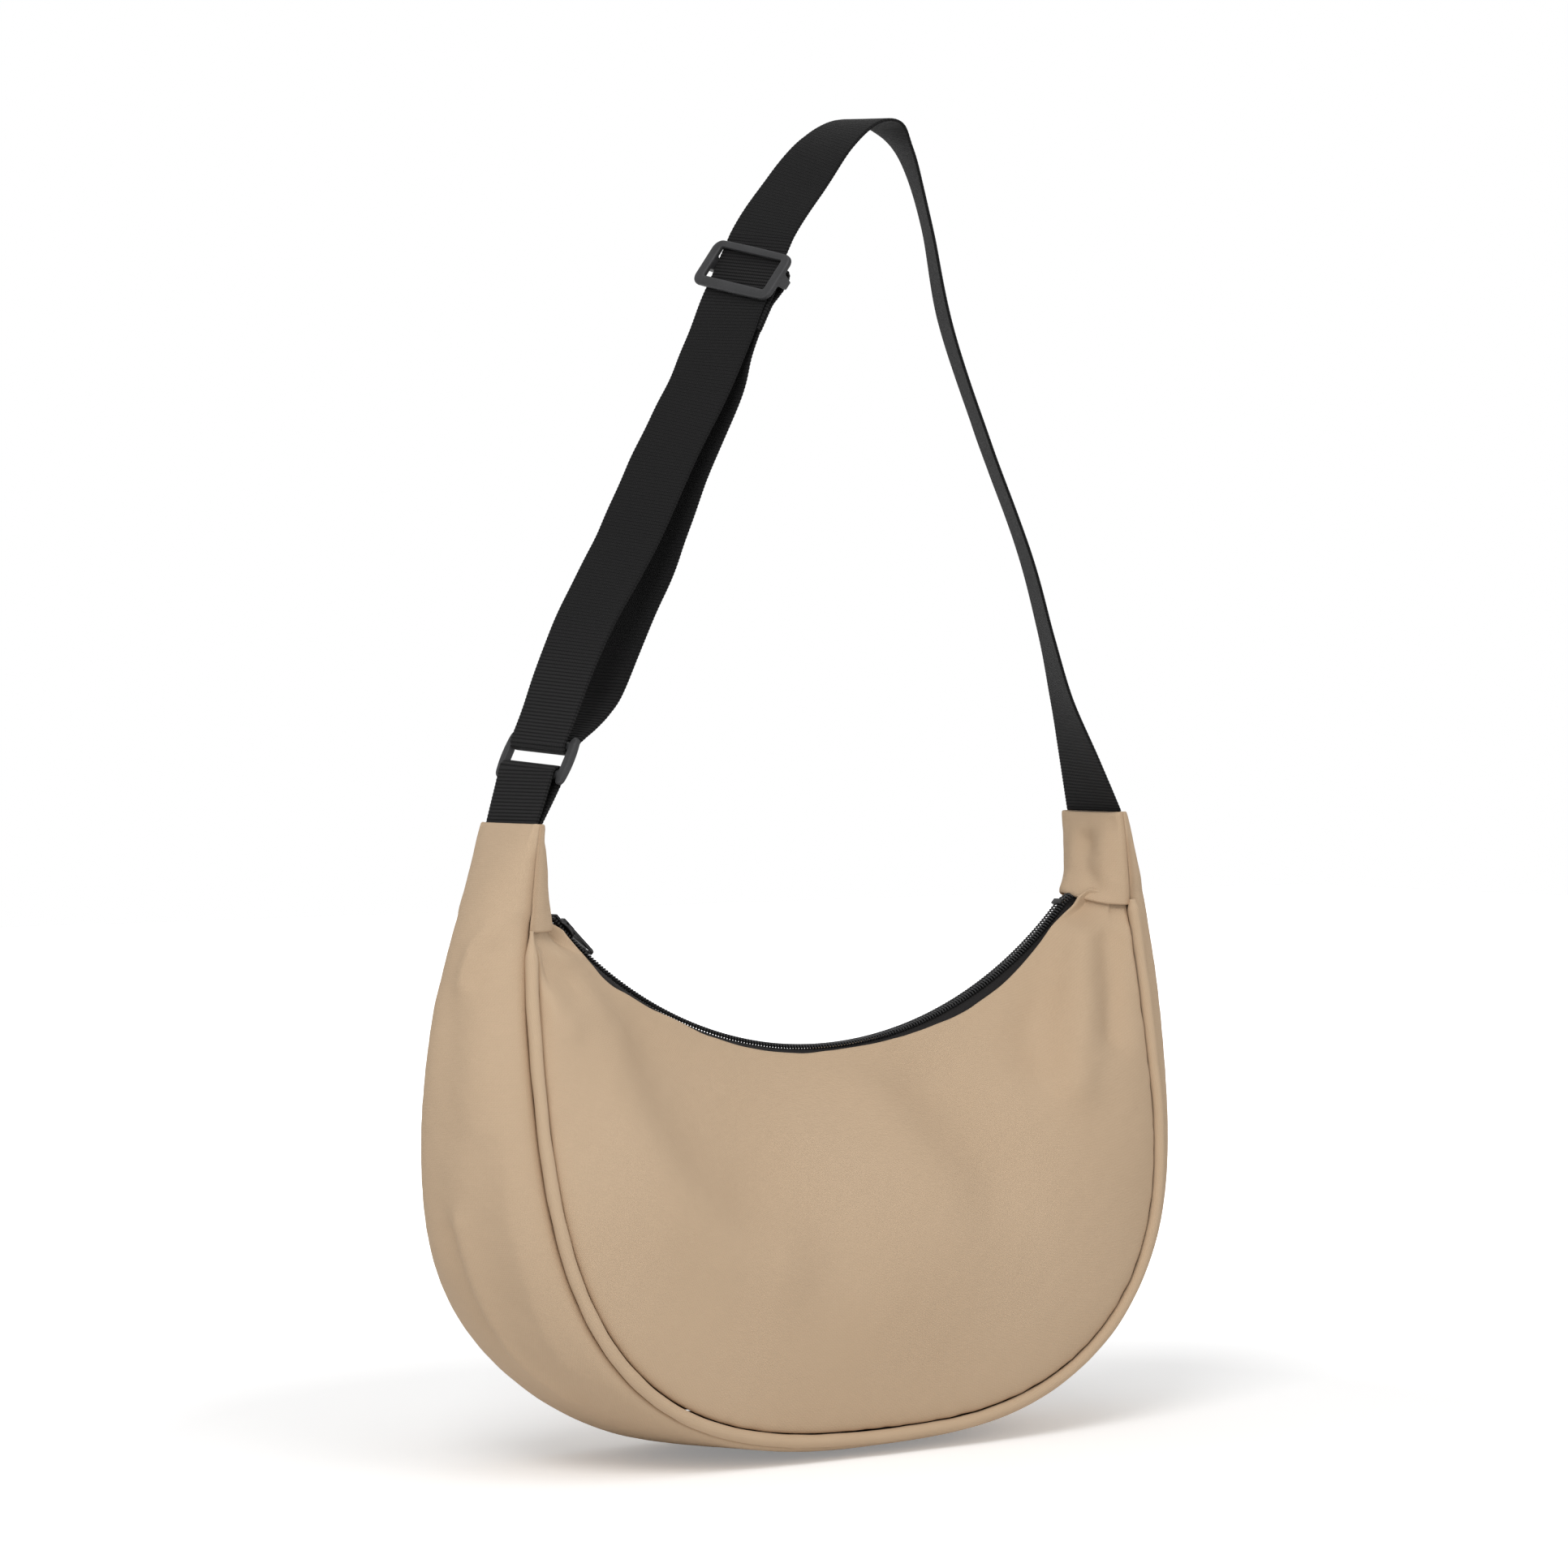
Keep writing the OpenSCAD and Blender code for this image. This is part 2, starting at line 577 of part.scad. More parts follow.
// The slider: two curved plates joined by a neck between the rows of teeth, with a bridge on top
slider_top_r = zip_r - tooth_h - 2 * gap;
slider_low_r = zip_r + tape_rise * tail_run_share + tape_t + gap;
module slider_band(r_out, r_in, half_w) {
    half = slider_l * deg_per_mm / 2;
    along_zip(slider_angle - half, slider_angle + half)
        translate([r_in, -half_w]) square([r_out - r_in, 2 * half_w]);
}
module at_slider() {
    translate([0, 0, zip_z]) rotate([0, -slider_angle, 0]) translate([0, 0, -slider_top_r]) children();
}
module shield_outline() {
    narrow_w = slider_w * narrow_end_share;
    hull() {
        translate([-slider_l / 2 + slider_w / 2, 0]) circle(d = slider_w, $fn = 32);
        translate([slider_l / 2 - narrow_w / 2, 0]) circle(d = narrow_w, $fn = 32);
    }
}
pin_z = plate_t + gap + puller_t / 2;
module zip_slider() {
    hung() color("black") {
        intersection() {
            union() {
                slider_band(slider_top_r, slider_top_r - plate_t, slider_w / 2);
                slider_band(slider_low_r + plate_t, slider_low_r, slider_w * low_plate_share);
                slider_band(slider_low_r + overrun / 2, slider_top_r - overrun / 2, neck_half_w);
            }
            at_slider() linear_extrude(8 * slider_w, center = true) shield_outline();
        }
        at_slider() difference() {
            translate([-bridge_l / 2, -bridge_w / 2, plate_t / 2])
                cube([bridge_l, bridge_w, bridge_h + plate_t / 2]);
            translate([0, 0, pin_z])
                cube([2 * (pin_r + gap) + 2 * gap, bridge_w + 2 * overrun, puller_t + 2 * gap], center = true);
        }
    }
}
// The puller: a pin through the bridge, two arms beside it and a flat tab with a hole
module zip_puller() {
    arm_w = 1.2;
    arm_gap = bridge_w + 2 * gap;
    arm_l = norm([bridge_l / 2, plate_t + bridge_h - pin_z]) + gap;
    hung() color("black") at_slider() translate([0, 0, pin_z]) {
        rotate([90, 0, 0]) cylinder(r = pin_r, h = arm_gap + 2 * arm_w, center = true, $fn = 24);
        for (side = [-1, 1])
            translate([-pin_r, side > 0 ? arm_gap / 2 : -arm_gap / 2 - arm_w, -puller_t / 2])
                cube([arm_l + overrun + pin_r, arm_w, puller_t]);
        translate([0, 0, -puller_t / 2]) linear_extrude(puller_t) difference() {
            hull() {
                translate([puller_l - puller_w / 2, 0]) circle(d = puller_w, $fn = 32);
                translate([arm_l, -arm_gap / 2 - arm_w]) square([overrun, arm_gap + 2 * arm_w]);
            }
            translate([puller_l - puller_w / 2, 0]) circle(r = puller_hole_r, $fn = 32);
        }
    }
}

// Webbing ends sewn inside the horns, as two layers that follow the side seam
root_tilt = atan((side_x(-root_l) - side_x(0)) / root_l);
module root(side) {
    translate([side * horn_x, 0, 0]) rotate([0, -side * root_tilt, 0])
        translate([-webbing_t, -webbing_w / 2, -root_l]) cube([2 * webbing_t, webbing_w, root_l - gap]);
}
module left_loop_root() {
    hung() color("black") root(-1);
}
module right_strap_root() {
    hung() color("black") root(1);
}
// The short loop from the left mouth round the ring's low bar and back
across = [0, -1, 0];
loop_steps = 3;
function loop_side(side) = [for (i = [0:loop_steps - 1]) let (u = i / loop_steps)
    [lerp(left_mouth + [side * (webbing_t + gap) / 2, 0, 2 * gap], low_bar + side * wrap_r * ring_n, u),
     lerp(across, ring_w, u)]];
loop_back = loop_side(1);
loop_line = concat(
    loop_side(-1),
    [for (i = [0:wrap_steps]) let (q = 180 - 180 * i / wrap_steps)
        [low_bar + wrap_r * (cos(q) * ring_n + sin(q) * ring_up), ring_w]],
    [for (i = [loop_steps - 1:-1:0]) loop_back[i]]
);
module left_loop() {
    hung() color("black") webbing(loop_line);
}
module strap_right_end() {
    hung() color("black") webbing(strap_line, flex_from);
}
module shoulder_strap() {
    hung() color("black") webbing(strap_line, 0, flex_from);
}

// The slack layer behind the left leg, from the ring's top bar to the sewn end
module strap_return() {
    line = spline(concat(
        [[2 * wrap_r, 2 * gap]],
        [for (s = return_shares) [2 * wrap_r + s.y * glide_at, s.x * glide_at]],
        [[sewn_n + webbing_t / 2, glide_at - 1.5 * sewn_l], [sewn_n, glide_at - sewn_l - gap]]
    ), 3);
    hung() color("black")
        webbing([for (p = line) let (w = leg_across(p.y))
            [leg_point(-wrap_r, p.y) + cross(leg_dir, w) * p.x, w]]);
}
// The end of the strap, folded round the adjuster's centre bar and sewn to itself
module strap_sewn_end() {
    line = concat(
        [[centre_bar_n - sewn_r, -sewn_l]],
        [for (q = [180:-22.5:0]) [centre_bar_n + cos(q) * sewn_r, sewn_slack + sin(q) * sewn_r]],
        [[centre_bar_n + sewn_r, -sewn_slack], [sewn_n, -sewn_l / 2], [sewn_n, -sewn_l]]
    );
    hung() color("black") on_leg(glide_at) edge_on_band([for (p = line) [-p.x, p.y]]);
}

// The slide adjuster: outer bars before the strap, and a round-edged centre bar behind it
module rounded_rect(w, h, r) {
    hull()
        for (x = [-1, 1], y = [-1, 1])
            translate([x * (w / 2 - r), y * (h / 2 - r)]) circle(r = r, $fn = 32);
}
module slide_adjuster() {
    outer_w = glide_slot_w + 2 * glide_side;
    side_depth = glide_front + glide_t + centre_bar_n + centre_bar_t / 2;
    window_h = glide_h - glide_top_bar - glide_low_bar;
    window_z = (glide_low_bar - glide_top_bar) / 2;
    hung() color("dimgray") on_leg(glide_at) rotate([0, -glide_turn, 0]) {
        rotate([90, 0, 0]) translate([0, 0, -glide_front - glide_t])
            linear_extrude(glide_t) difference() {
                rounded_rect(outer_w, glide_h, glide_corner_r);
                translate([0, window_z]) rounded_rect(glide_slot_w, window_h, 1.5 * gap);
            }
        for (side = [-1, 1])
            translate([side * (glide_slot_w + glide_side) / 2, 0, 0])
                rotate([90, 0, 0])
                    translate([0, 0, -glide_front - glide_t])
                        linear_extrude(side_depth) rounded_rect(glide_side, glide_lug_h, 1.5 * gap);
        translate([0, -centre_bar_n, 0]) rotate([0, 90, 0])
            cylinder(d = centre_bar_t, h = glide_slot_w + glide_side, center = true, $fn = 32);
    }
}

// The rectangular ring: two round bars for the webbing between bowed short sides
module rectangular_ring() {
    hung() color("dimgray") on_ring() {
        for (z = [0, -ring_pitch])
            translate([0, 0, z]) rotate([0, 90, 0])
                cylinder(d = ring_t, h = slot_w + ring_side, center = true, $fn = 32);
        translate([0, 0, -ring_pitch / 2]) rotate([90, 0, 0])
            linear_extrude(ring_t, center = true) difference() {
                hull() {
                    rounded_rect(slot_w + 2 * ring_side_edge, ring_plate_l, ring_corner_r);
                    for (side = [-1, 1])
                        translate([side * (slot_w / 2 + ring_side - ring_plate_l / 3), 0])
                            circle(r = ring_plate_l / 3, $fn = 48);
                }
                square([slot_w, ring_plate_l + 2 * overrun], center = true);
            }
    }
}

front_panel();
back_panel();
gusset();
front_piping();
back_piping();
left_tab();
right_tab();
front_lining();
back_lining();
gusset_lining();
inner_pocket();
front_zip_tape();
back_zip_tape();
front_zip_teeth();
back_zip_teeth();
zip_end_stops();
zip_slider();
zip_puller();
left_loop_root();
left_loop();
right_strap_root();
strap_right_end();
shoulder_strap();
strap_return();
strap_sewn_end();
slide_adjuster();
rectangular_ring();
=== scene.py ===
"""Looks of the half moon bag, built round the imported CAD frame.

Shapes are worked out in millimetres in the source's own frame (origin on the line through the
two horn mouths, X right, Y back, Z up) and moved to the row frame, in metres, when a mesh is made.
"""
from math import atan, cos, hypot, pi, radians, sin, sqrt, tan

import bmesh
import bpy
import numpy as np
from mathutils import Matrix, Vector


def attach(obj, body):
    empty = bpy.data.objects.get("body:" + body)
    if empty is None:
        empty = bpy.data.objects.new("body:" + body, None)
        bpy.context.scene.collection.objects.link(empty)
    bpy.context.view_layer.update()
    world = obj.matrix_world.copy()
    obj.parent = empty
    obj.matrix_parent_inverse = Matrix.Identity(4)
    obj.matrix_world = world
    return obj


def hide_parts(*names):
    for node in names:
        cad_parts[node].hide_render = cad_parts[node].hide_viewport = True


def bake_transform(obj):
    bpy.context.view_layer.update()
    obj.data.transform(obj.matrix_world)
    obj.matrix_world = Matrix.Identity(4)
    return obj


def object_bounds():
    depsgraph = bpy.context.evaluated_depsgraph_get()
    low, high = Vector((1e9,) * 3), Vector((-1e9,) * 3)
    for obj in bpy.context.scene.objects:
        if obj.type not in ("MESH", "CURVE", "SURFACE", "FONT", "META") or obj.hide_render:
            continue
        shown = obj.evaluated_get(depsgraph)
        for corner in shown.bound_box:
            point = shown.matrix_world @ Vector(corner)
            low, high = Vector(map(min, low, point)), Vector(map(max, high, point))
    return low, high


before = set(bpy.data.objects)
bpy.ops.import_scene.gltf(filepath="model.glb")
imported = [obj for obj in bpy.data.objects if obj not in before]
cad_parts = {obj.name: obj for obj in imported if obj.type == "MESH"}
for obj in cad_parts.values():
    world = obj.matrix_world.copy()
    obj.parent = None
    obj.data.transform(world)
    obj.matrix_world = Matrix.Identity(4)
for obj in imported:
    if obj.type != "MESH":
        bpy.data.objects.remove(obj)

scene = bpy.context.scene
CAD_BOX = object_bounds()
HANG = np.array([14.3778, -20.8556, 311.323])   # the strap's crest, which is the row frame's origin


def row(p):
    """Points of the source's frame, in mm, as points of the row frame, in metres."""
    return (np.asarray(p, float) - HANG) / 1000.0


def added(name, data):
    """A new object in the scene."""
    ob = bpy.data.objects.new(name, data)
    scene.collection.objects.link(ob)
    return ob


# ---- camera
AZIMUTH = -38.0
camera_data = bpy.data.cameras.new("camera")
camera = added("camera", camera_data)
camera.location = row([-1459.1, -1867.6, 64.0])
camera.rotation_euler = (radians(90), 0, radians(AZIMUTH))
camera_data.sensor_width = 36.0
camera_data.lens = 121.12
camera_data.shift_x = -0.0203
camera_data.shift_y = -0.0699
scene.camera = camera


# ---- small helpers
def unit(v):
    v = np.asarray(v, float)
    return v / np.maximum(np.linalg.norm(v, axis=-1, keepdims=True), 1e-12)


def smooth(u):
    u = np.clip(u, 0, 1)
    return u * u * (3 - 2 * u)


def lerp(a, b, s):
    return a * (1 - s) + b * s


def hump(x, mid, width):
    return np.exp(-((x - mid) / width) ** 2)


def waves(p, length, seed):
    """Smooth noise from -1 to 1 over points in mm, with bumps about length mm across."""
    count = 7
    rng = np.random.default_rng(seed)
    d = unit(rng.normal(size=(count, p.shape[-1])))
    k = 2 * pi / (length * rng.uniform(0.8, 1.7, count))
    total = sum(np.sin(p @ d[i] * k[i] + rng.uniform(0, 6.28)) for i in range(count))
    return total / sqrt(count) / 1.3


def running(line):
    return np.concatenate([[0], np.cumsum(np.linalg.norm(np.diff(line, axis=0), axis=1))])


def running_round(line):
    """The same round a closed line, with one more place for the step back to its start."""
    return running(np.concatenate([line, line[:1]]))


def read_line(at, run, line):
    """Points or directions at distances along a line."""
    return np.stack([np.interp(at, run, line[:, k]) for k in range(line.shape[1])], -1)


def pairs(a, b):
    """A grid of (a, b), with a down the rows and b along the columns."""
    return np.stack(np.broadcast_arrays(a[:, None], b[None]), -1)


def shares(low, high, n, *extra):
    """Even steps from low to high, with a few extra ones as far from both ends."""
    extra = np.array(extra)
    return np.unique(np.concatenate([np.linspace(low, high, n), low + extra, high - extra]))


def steps(line):
    """Differences between the neighbours of each point of a line, or of each row of a grid."""
    d = np.empty_like(line)
    d[1:-1], d[0], d[-1] = line[2:] - line[:-2], line[1] - line[0], line[-1] - line[-2]
    return d


def catmull(p, n):
    """The source's smooth line through points, with n steps in each span."""
    p = np.asarray(p, float)
    out = []
    for i in range(len(p) - 1):
        a, b, c, d = p[max(i - 1, 0)], p[i], p[i + 1], p[min(i + 2, len(p) - 1)]
        t = (np.arange(n) / n)[:, None]
        out.append(0.5 * (2 * b + (c - a) * t + (2 * a - 5 * b + 4 * c - d) * t ** 2
                          + (3 * b - a - 3 * c + d) * t ** 3))
    return np.concatenate(out + [p[-1:]])


def welded(me):
    bm = bmesh.new()
    bm.from_mesh(me)
    bmesh.ops.remove_doubles(bm, verts=bm.verts, dist=1e-6)
    return bm


def settled(bm, me):
    """Writes a mesh back with smooth faces that all look outwards."""
    bmesh.ops.recalc_face_normals(bm, faces=bm.faces)
    for f in bm.faces:
        f.smooth = True
    bm.to_mesh(me)
    bm.free()


class Build:
    """Collects grids of points into one mesh, with a UV in mm at every corner."""

    def __init__(self):
        self.points, self.faces, self.uvs, self.shades, self.count = [], [], [], [], 0

    def grid(self, pts, uv, wrap=False, shade=0.0):
        """pts is (rows, columns, 3). uv is (rows, columns, 2), with one more column where it wraps."""
        m, n = pts.shape[:2]
        cols = n if wrap else n - 1
        i, j = np.meshgrid(np.arange(m - 1), np.arange(cols), indexing="ij")
        j1 = (j + 1) % n
        quad = np.stack([i * n + j, (i + 1) * n + j, (i + 1) * n + j1, i * n + j1], -1).reshape(-1, 4)
        corner = np.stack([uv[i, j], uv[i + 1, j], uv[i + 1, j + 1], uv[i, j + 1]], 2).reshape(-1, 4, 2)
        self.faces.append(quad + self.count)
        self.uvs.append(corner)
        self.points.append(pts.reshape(-1, 3))
        self.shades.append(np.broadcast_to(shade, (m, n)).reshape(-1))
        self.count += m * n

    def fan(self, ring, uv):
        """Closes a ring of points with its middle."""
        n = len(ring)
        middle = ring.mean(0)[None]
        self.points.append(np.concatenate([ring, middle]))
        self.shades.append(np.zeros(n + 1))
        k = np.arange(n)
        self.faces.append(np.stack([k, (k + 1) % n, np.full(n, n), np.full(n, n)], 1) + self.count)
        uv_mid = np.repeat(uv.mean(0)[None], n, 0)
        self.uvs.append(np.stack([uv[k], uv[(k + 1) % n], uv_mid, uv_mid], 1))
        self.count += n + 1

    def capped(self, pts, uv, shade=0.0):
        """A grid that wraps round, closed at both ends."""
        self.grid(pts, uv, True, shade)
        for i in (0, -1):
            self.fan(pts[i], uv[i, :-1])

    def made(self, name, mat):
        pts = row(np.concatenate(self.points))
        lists, corners = [], []
        for f, c in zip(np.concatenate(self.faces).tolist(), np.concatenate(self.uvs).tolist()):
            if f[2] == f[3]:
                f, c = f[:3], c[:3]
            lists.append(f)
            corners.extend(c)
        me = bpy.data.meshes.new(name)
        me.from_pydata(pts.tolist(), [], lists)
        layer = me.uv_layers.new(name="grain")
        layer.data.foreach_set("uv", np.asarray(corners, np.float32).ravel())
        shade = me.attributes.new("shade", "FLOAT", "POINT")
        shade.data.foreach_set("value", np.concatenate(self.shades).astype(np.float32))
        settled(welded(me), me)
        me.materials.append(mat)
        return added(name, me)


def dress(ob, body, node):
    """Puts a piece on its body, in place of its CAD node."""
    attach(ob, body)
    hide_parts(node)


def grid_normals(g):
    return unit(np.cross(steps(g), steps(g.swapaxes(0, 1)).swapaxes(0, 1)))


def grid_uv(g):
    """Distances along the rows and the columns of a grid, from its middle column."""
    m, n = g.shape[:2]
    along = running(g[:, n // 2])
    u = np.repeat(along[:, None], n, 1)
    v = np.concatenate([np.zeros((m, 1)), np.cumsum(np.linalg.norm(np.diff(g, axis=1), axis=2), 1)], 1)
    return np.stack([u, v - v[:, n // 2][:, None]], -1)


def shell(name, node, outer, turn, kind, shade=0.0):
    """A closed cloth sheet under a grid, thinner at its rims. turn is 1 or -1, as in the source."""
    thickness, mat, slot_name = kind
    n = grid_normals(outer) * turn
    m, k = outer.shape[:2]
    t = np.full((m, k), float(thickness))
    t[[0, -1]] = t[:, [0, -1]] = RIM_SHARE * thickness
    top = outer - n * ((thickness - t) / 2)[..., None]
    low = outer - n * ((thickness + t) / 2)[..., None]
    loop = np.concatenate([top, low[:, ::-1]], 1)
    uv = grid_uv(outer)
    loop_uv = np.concatenate([uv, uv[:, ::-1], uv[:, :1]], 1)
    sh = np.broadcast_to(shade, (m, k))
    b = Build()
    b.grid(loop, loop_uv, wrap=True, shade=np.concatenate([sh, sh[:, ::-1]], 1))
    for i in (0, m - 1):
        b.grid(np.stack([top[i], low[i]]), np.stack([uv[i], uv[i]]), shade=np.stack([sh[i], sh[i]]))
    dress(b.made(name, mat), "bag", node)


def tube(b, line, radius, sides, side_dir=(0, 1, 0)):
    """A round closed tube along a line. radius is one number or one for each point."""
    line = np.asarray(line, float)
    d = unit(steps(line))
    a = unit(np.cross(d, side_dir))
    c = np.cross(d, a)
    q = (2 * pi * np.arange(sides) / sides)[None, :, None]
    r = np.broadcast_to(radius, (len(line),))[:, None, None]
    pts = line[:, None] + r * (np.cos(q) * a[:, None] + np.sin(q) * c[:, None])
    around = 2 * pi * np.mean(r) * np.arange(sides + 1) / sides
    b.capped(pts, pairs(running(line), around))


# ---- values of the source, in mm
half_w, drop, bowl_h, lean, power = 173.5, 111.0, 162.0, 8.0, 2.7
front_gain, back_gain = 24.0, 29.0
left_bulge, right_bulge, bottom_bulge = 28.0, 21.0, 7.0
fabric_t, piping_r = 1.2, 2.9
tab_l = {-1: 44.0, 1: 39.0}
tab_ridge = {-1: 19.5, 1: 15.0}
webbing_w, webbing_t, strap_h, crest_lean = 38.0, 1.5, 310.0, 21.0
loop_h, ring_tilt, ring_pitch, ring_t = 24.5, 25.5, 13.0, 4.0
ring_plate_l, glide_h, glide_t, glide_turn, glide_slot_w = 22.0, 23.5, 2.8, 6.0, 41.0
horn_half_d, horn_x, mouth_wall, seam_inset = 21.0, 165.5, 3.0, 3.2
SEAM_EDGE = 0.12      # how far each edge stays from a horn's seam, where the two are sewn together
RIM_SHARE = 0.35      # share of its thickness that a cloth sheet has at its rims
zip_r, zip_z, left_end, right_end = 204.323, 100.323, 46.0436, 47.7044
deg_per_mm = 180 / (pi * zip_r)
wrap_r, slot_w = 3.05, 39.0


# ---- materials
def blank(name):
    m = bpy.data.materials.new(name)
    m.use_nodes = True
    return m, m.node_tree, m.node_tree.nodes["Principled BSDF"]


def feed(tree, socket, value):
    """Gives an input a value, or links it to an output."""
    if isinstance(value, bpy.types.NodeSocket):
        tree.links.new(value, socket)
    else:
        socket.default_value = (*value, 1.0) if socket.type == "RGBA" else value


def give(tree, n, **values):
    """Sets a node's inputs and properties. An input's name has _ for each space here."""
    for key, value in values.items():
        if key.replace("_", " ") in n.inputs:
            feed(tree, n.inputs[key.replace("_", " ")], value)
        else:
            setattr(n, key, value)
    return n


def put(tree, kind, **values):
    return give(tree, tree.nodes.new(kind), **values)


def mix_colour(tree, factor, a, b):
    """Mixes two colours, each a tuple or a socket, by a number or a socket."""
    n = put(tree, "ShaderNodeMix", data_type="RGBA", blend_type="MIX")
    for k, value in ((0, factor), (6, a), (7, b)):
        feed(tree, n.inputs[k], value)
    return n.outputs[2]


def maths(tree, op, a, *others):
    """Takes a sum, product or the like, one term after another."""
    for b in others:
        n = put(tree, "ShaderNodeMath", operation=op)
        feed(tree, n.inputs[0], a)
        feed(tree, n.inputs[1], b)
        a = n.outputs[0]
    return a


def add(tree, *terms):
    return maths(tree, "ADD", *terms)


def times(tree, *factors):
    return maths(tree, "MULTIPLY", *factors)


def ranged(tree, value, low, high, a, b):
    n = put(tree, "ShaderNodeMapRange", Value=value, From_Min=low, From_Max=high, To_Min=a, To_Max=b)
    return n.outputs["Result"]


def noise(tree, vector, scale, detail, rough):
    n = put(tree, "ShaderNodeTexNoise", Vector=vector, Scale=scale, Detail=detail, Roughness=rough)
    return n.outputs["Fac"]


def stripes(tree, vector, axis, pitch, warp):
    """Soft bands every pitch mm along a UV axis."""
    n = put(tree, "ShaderNodeTexWave", wave_type="BANDS", bands_direction=axis, wave_profile="SIN",
            Vector=vector, Scale=2 * pi / (20 * pitch), Distortion=warp, Detail=1.0, Detail_Scale=0.6)
    return n.outputs["Fac"]


def turned(tree, vector, degrees):
    n = put(tree, "ShaderNodeVectorRotate", rotation_type="Z_AXIS", Vector=vector,
            Angle=radians(degrees))
    return n.outputs["Vector"]


def bumped(tree, bsdf, height, strength, distance):
    n = put(tree, "ShaderNodeBump", Strength=strength, Distance=distance, Height=height)
    give(tree, bsdf, Normal=n.outputs["Normal"])


def coordinates(tree):
    uv = put(tree, "ShaderNodeUVMap", uv_map="grain").outputs["UV"]
    place = put(tree, "ShaderNodeTexCoord").outputs["Object"]
    shade = put(tree, "ShaderNodeAttribute", attribute_name="shade").outputs["Fac"]
    return uv, place, shade


def cloth(name, dark, light, weave=0.62, sheen=0.12, rough=(0.74, 0.9), depth=0.00016, mottle=0.35,
          lean_by=0.0, seam_shade=(0.30, 0.17, 0.09)):
    """Woven cloth: two crossed yarns with slubs, slow mottling, and painted shade, darker along the seams."""
    m, t, p = blank(name)
    uv, place, shade = coordinates(t)
    grain = turned(t, uv, lean_by) if lean_by else uv
    warp = stripes(t, grain, "X", weave, 1.2)
    weft = stripes(t, grain, "Y", weave * 1.1, 1.2)
    yarn = times(t, warp, weft)
    twill = stripes(t, turned(t, grain, 52), "X", weave * 1.7, 0.5)
    slub = noise(t, uv, 1.1, 4.0, 0.7)
    slow = noise(t, place, 9.0, 3.0, 0.5)
    slower = noise(t, place, 3.1, 2.0, 0.5)
    height = add(t, yarn, times(t, twill, 0.35), times(t, slub, 0.8))
    tone = add(t, times(t, ranged(t, slow, 0.3, 0.7, 0, 1), mottle),
               times(t, ranged(t, height, 0.3, 1.6, 0, 1), 1 - mottle))
    colour = mix_colour(t, tone, dark, light)
    colour = mix_colour(t, ranged(t, slower, 0.35, 0.65, 0.0, 0.22), colour, tuple(0.93 * c for c in light))
    # The shade attribute mixes in the seam colour: painted shade along the seams.
    give(t, p, Base_Color=mix_colour(t, shade, colour, seam_shade), Roughness=ranged(t, slub, 0.3, 0.7, *rough),
         Sheen_Weight=sheen, Sheen_Roughness=0.45, Sheen_Tint=light, Specular_IOR_Level=0.22)
    bumped(t, p, height, 0.55, depth)
    return m


RIB = 1.6     # pitch of the webbing's ribs in mm


def webbing_cloth(name):
    """Dark nylon webbing: thick ribs crossed by fine yarns. Its shade says how far the ribs stand out."""
    m, t, p = blank(name)
    uv, place, shade = coordinates(t)
    rib = stripes(t, uv, "X", RIB, 0.1)
    weft = stripes(t, uv, "X", RIB / 2, 0.2)
    yarn = stripes(t, uv, "Y", 1.1, 0.25)
    fleck = noise(t, uv, 1.6, 3.0, 0.75)
    slow = noise(t, place, 22.0, 2.0, 0.5)
    weave = times(t, weft, add(t, yarn, 0.35))
    ribs = times(t, rib, add(t, times(t, yarn, 0.5), 0.8))
    height = add(t, times(t, ribs, shade), times(t, weave, 0.55), times(t, fleck, 0.35))
    tone = ranged(t, height, 0.2, 1.5, 0, 1)
    colour = mix_colour(t, tone, (0.0016, 0.0016, 0.0017), (0.0190, 0.0186, 0.0190))
    colour = mix_colour(t, ranged(t, slow, 0.35, 0.65, 0, 0.3), colour, (0.0075, 0.0072, 0.0074))
    give(t, p, Base_Color=colour, Roughness=ranged(t, fleck, 0.3, 0.7, 0.66, 0.85), Specular_IOR_Level=0.12,
         Sheen_Weight=0.02, Sheen_Roughness=0.4)
    bumped(t, p, height, 0.8, 0.00035)
    return m


def plastic(name, dark, light, rough, grain_scale, grain_depth, specular, coat=0.0):
    """Moulded plastic or painted metal: fine grain, a painted highlight that lightens the edges, faint
    scuffs.
    """
    m, t, p = blank(name)
    uv, place, shade = coordinates(t)
    fine = noise(t, place, grain_scale, 2.0, 0.6)
    slow = noise(t, place, 90.0, 3.0, 0.6)
    stretch = put(t, "ShaderNodeMapping", Vector=place, Scale=(1.0, 14.0, 3.0), Rotation=(0.3, 0.5, 0.7))
    scuff = noise(t, stretch.outputs["Vector"], 160.0, 3.0, 0.6)
    colour = mix_colour(t, ranged(t, slow, 0.3, 0.7, 0, 1), dark, light)
    # The shade attribute lightens the colour towards the edges: a painted highlight.
    give(t, p, Base_Color=mix_colour(t, shade, colour, tuple(min(1.0, 1.7 * c + 0.01) for c in light)),
         Roughness=add(t, ranged(t, fine, 0.3, 0.7, *rough), ranged(t, scuff, 0.55, 0.75, 0.0, 0.12)),
         Specular_IOR_Level=specular, Coat_Weight=coat, Coat_Roughness=0.25)
    bumped(t, p, add(t, fine, times(t, scuff, 0.3)), 0.5, grain_depth)
    return m


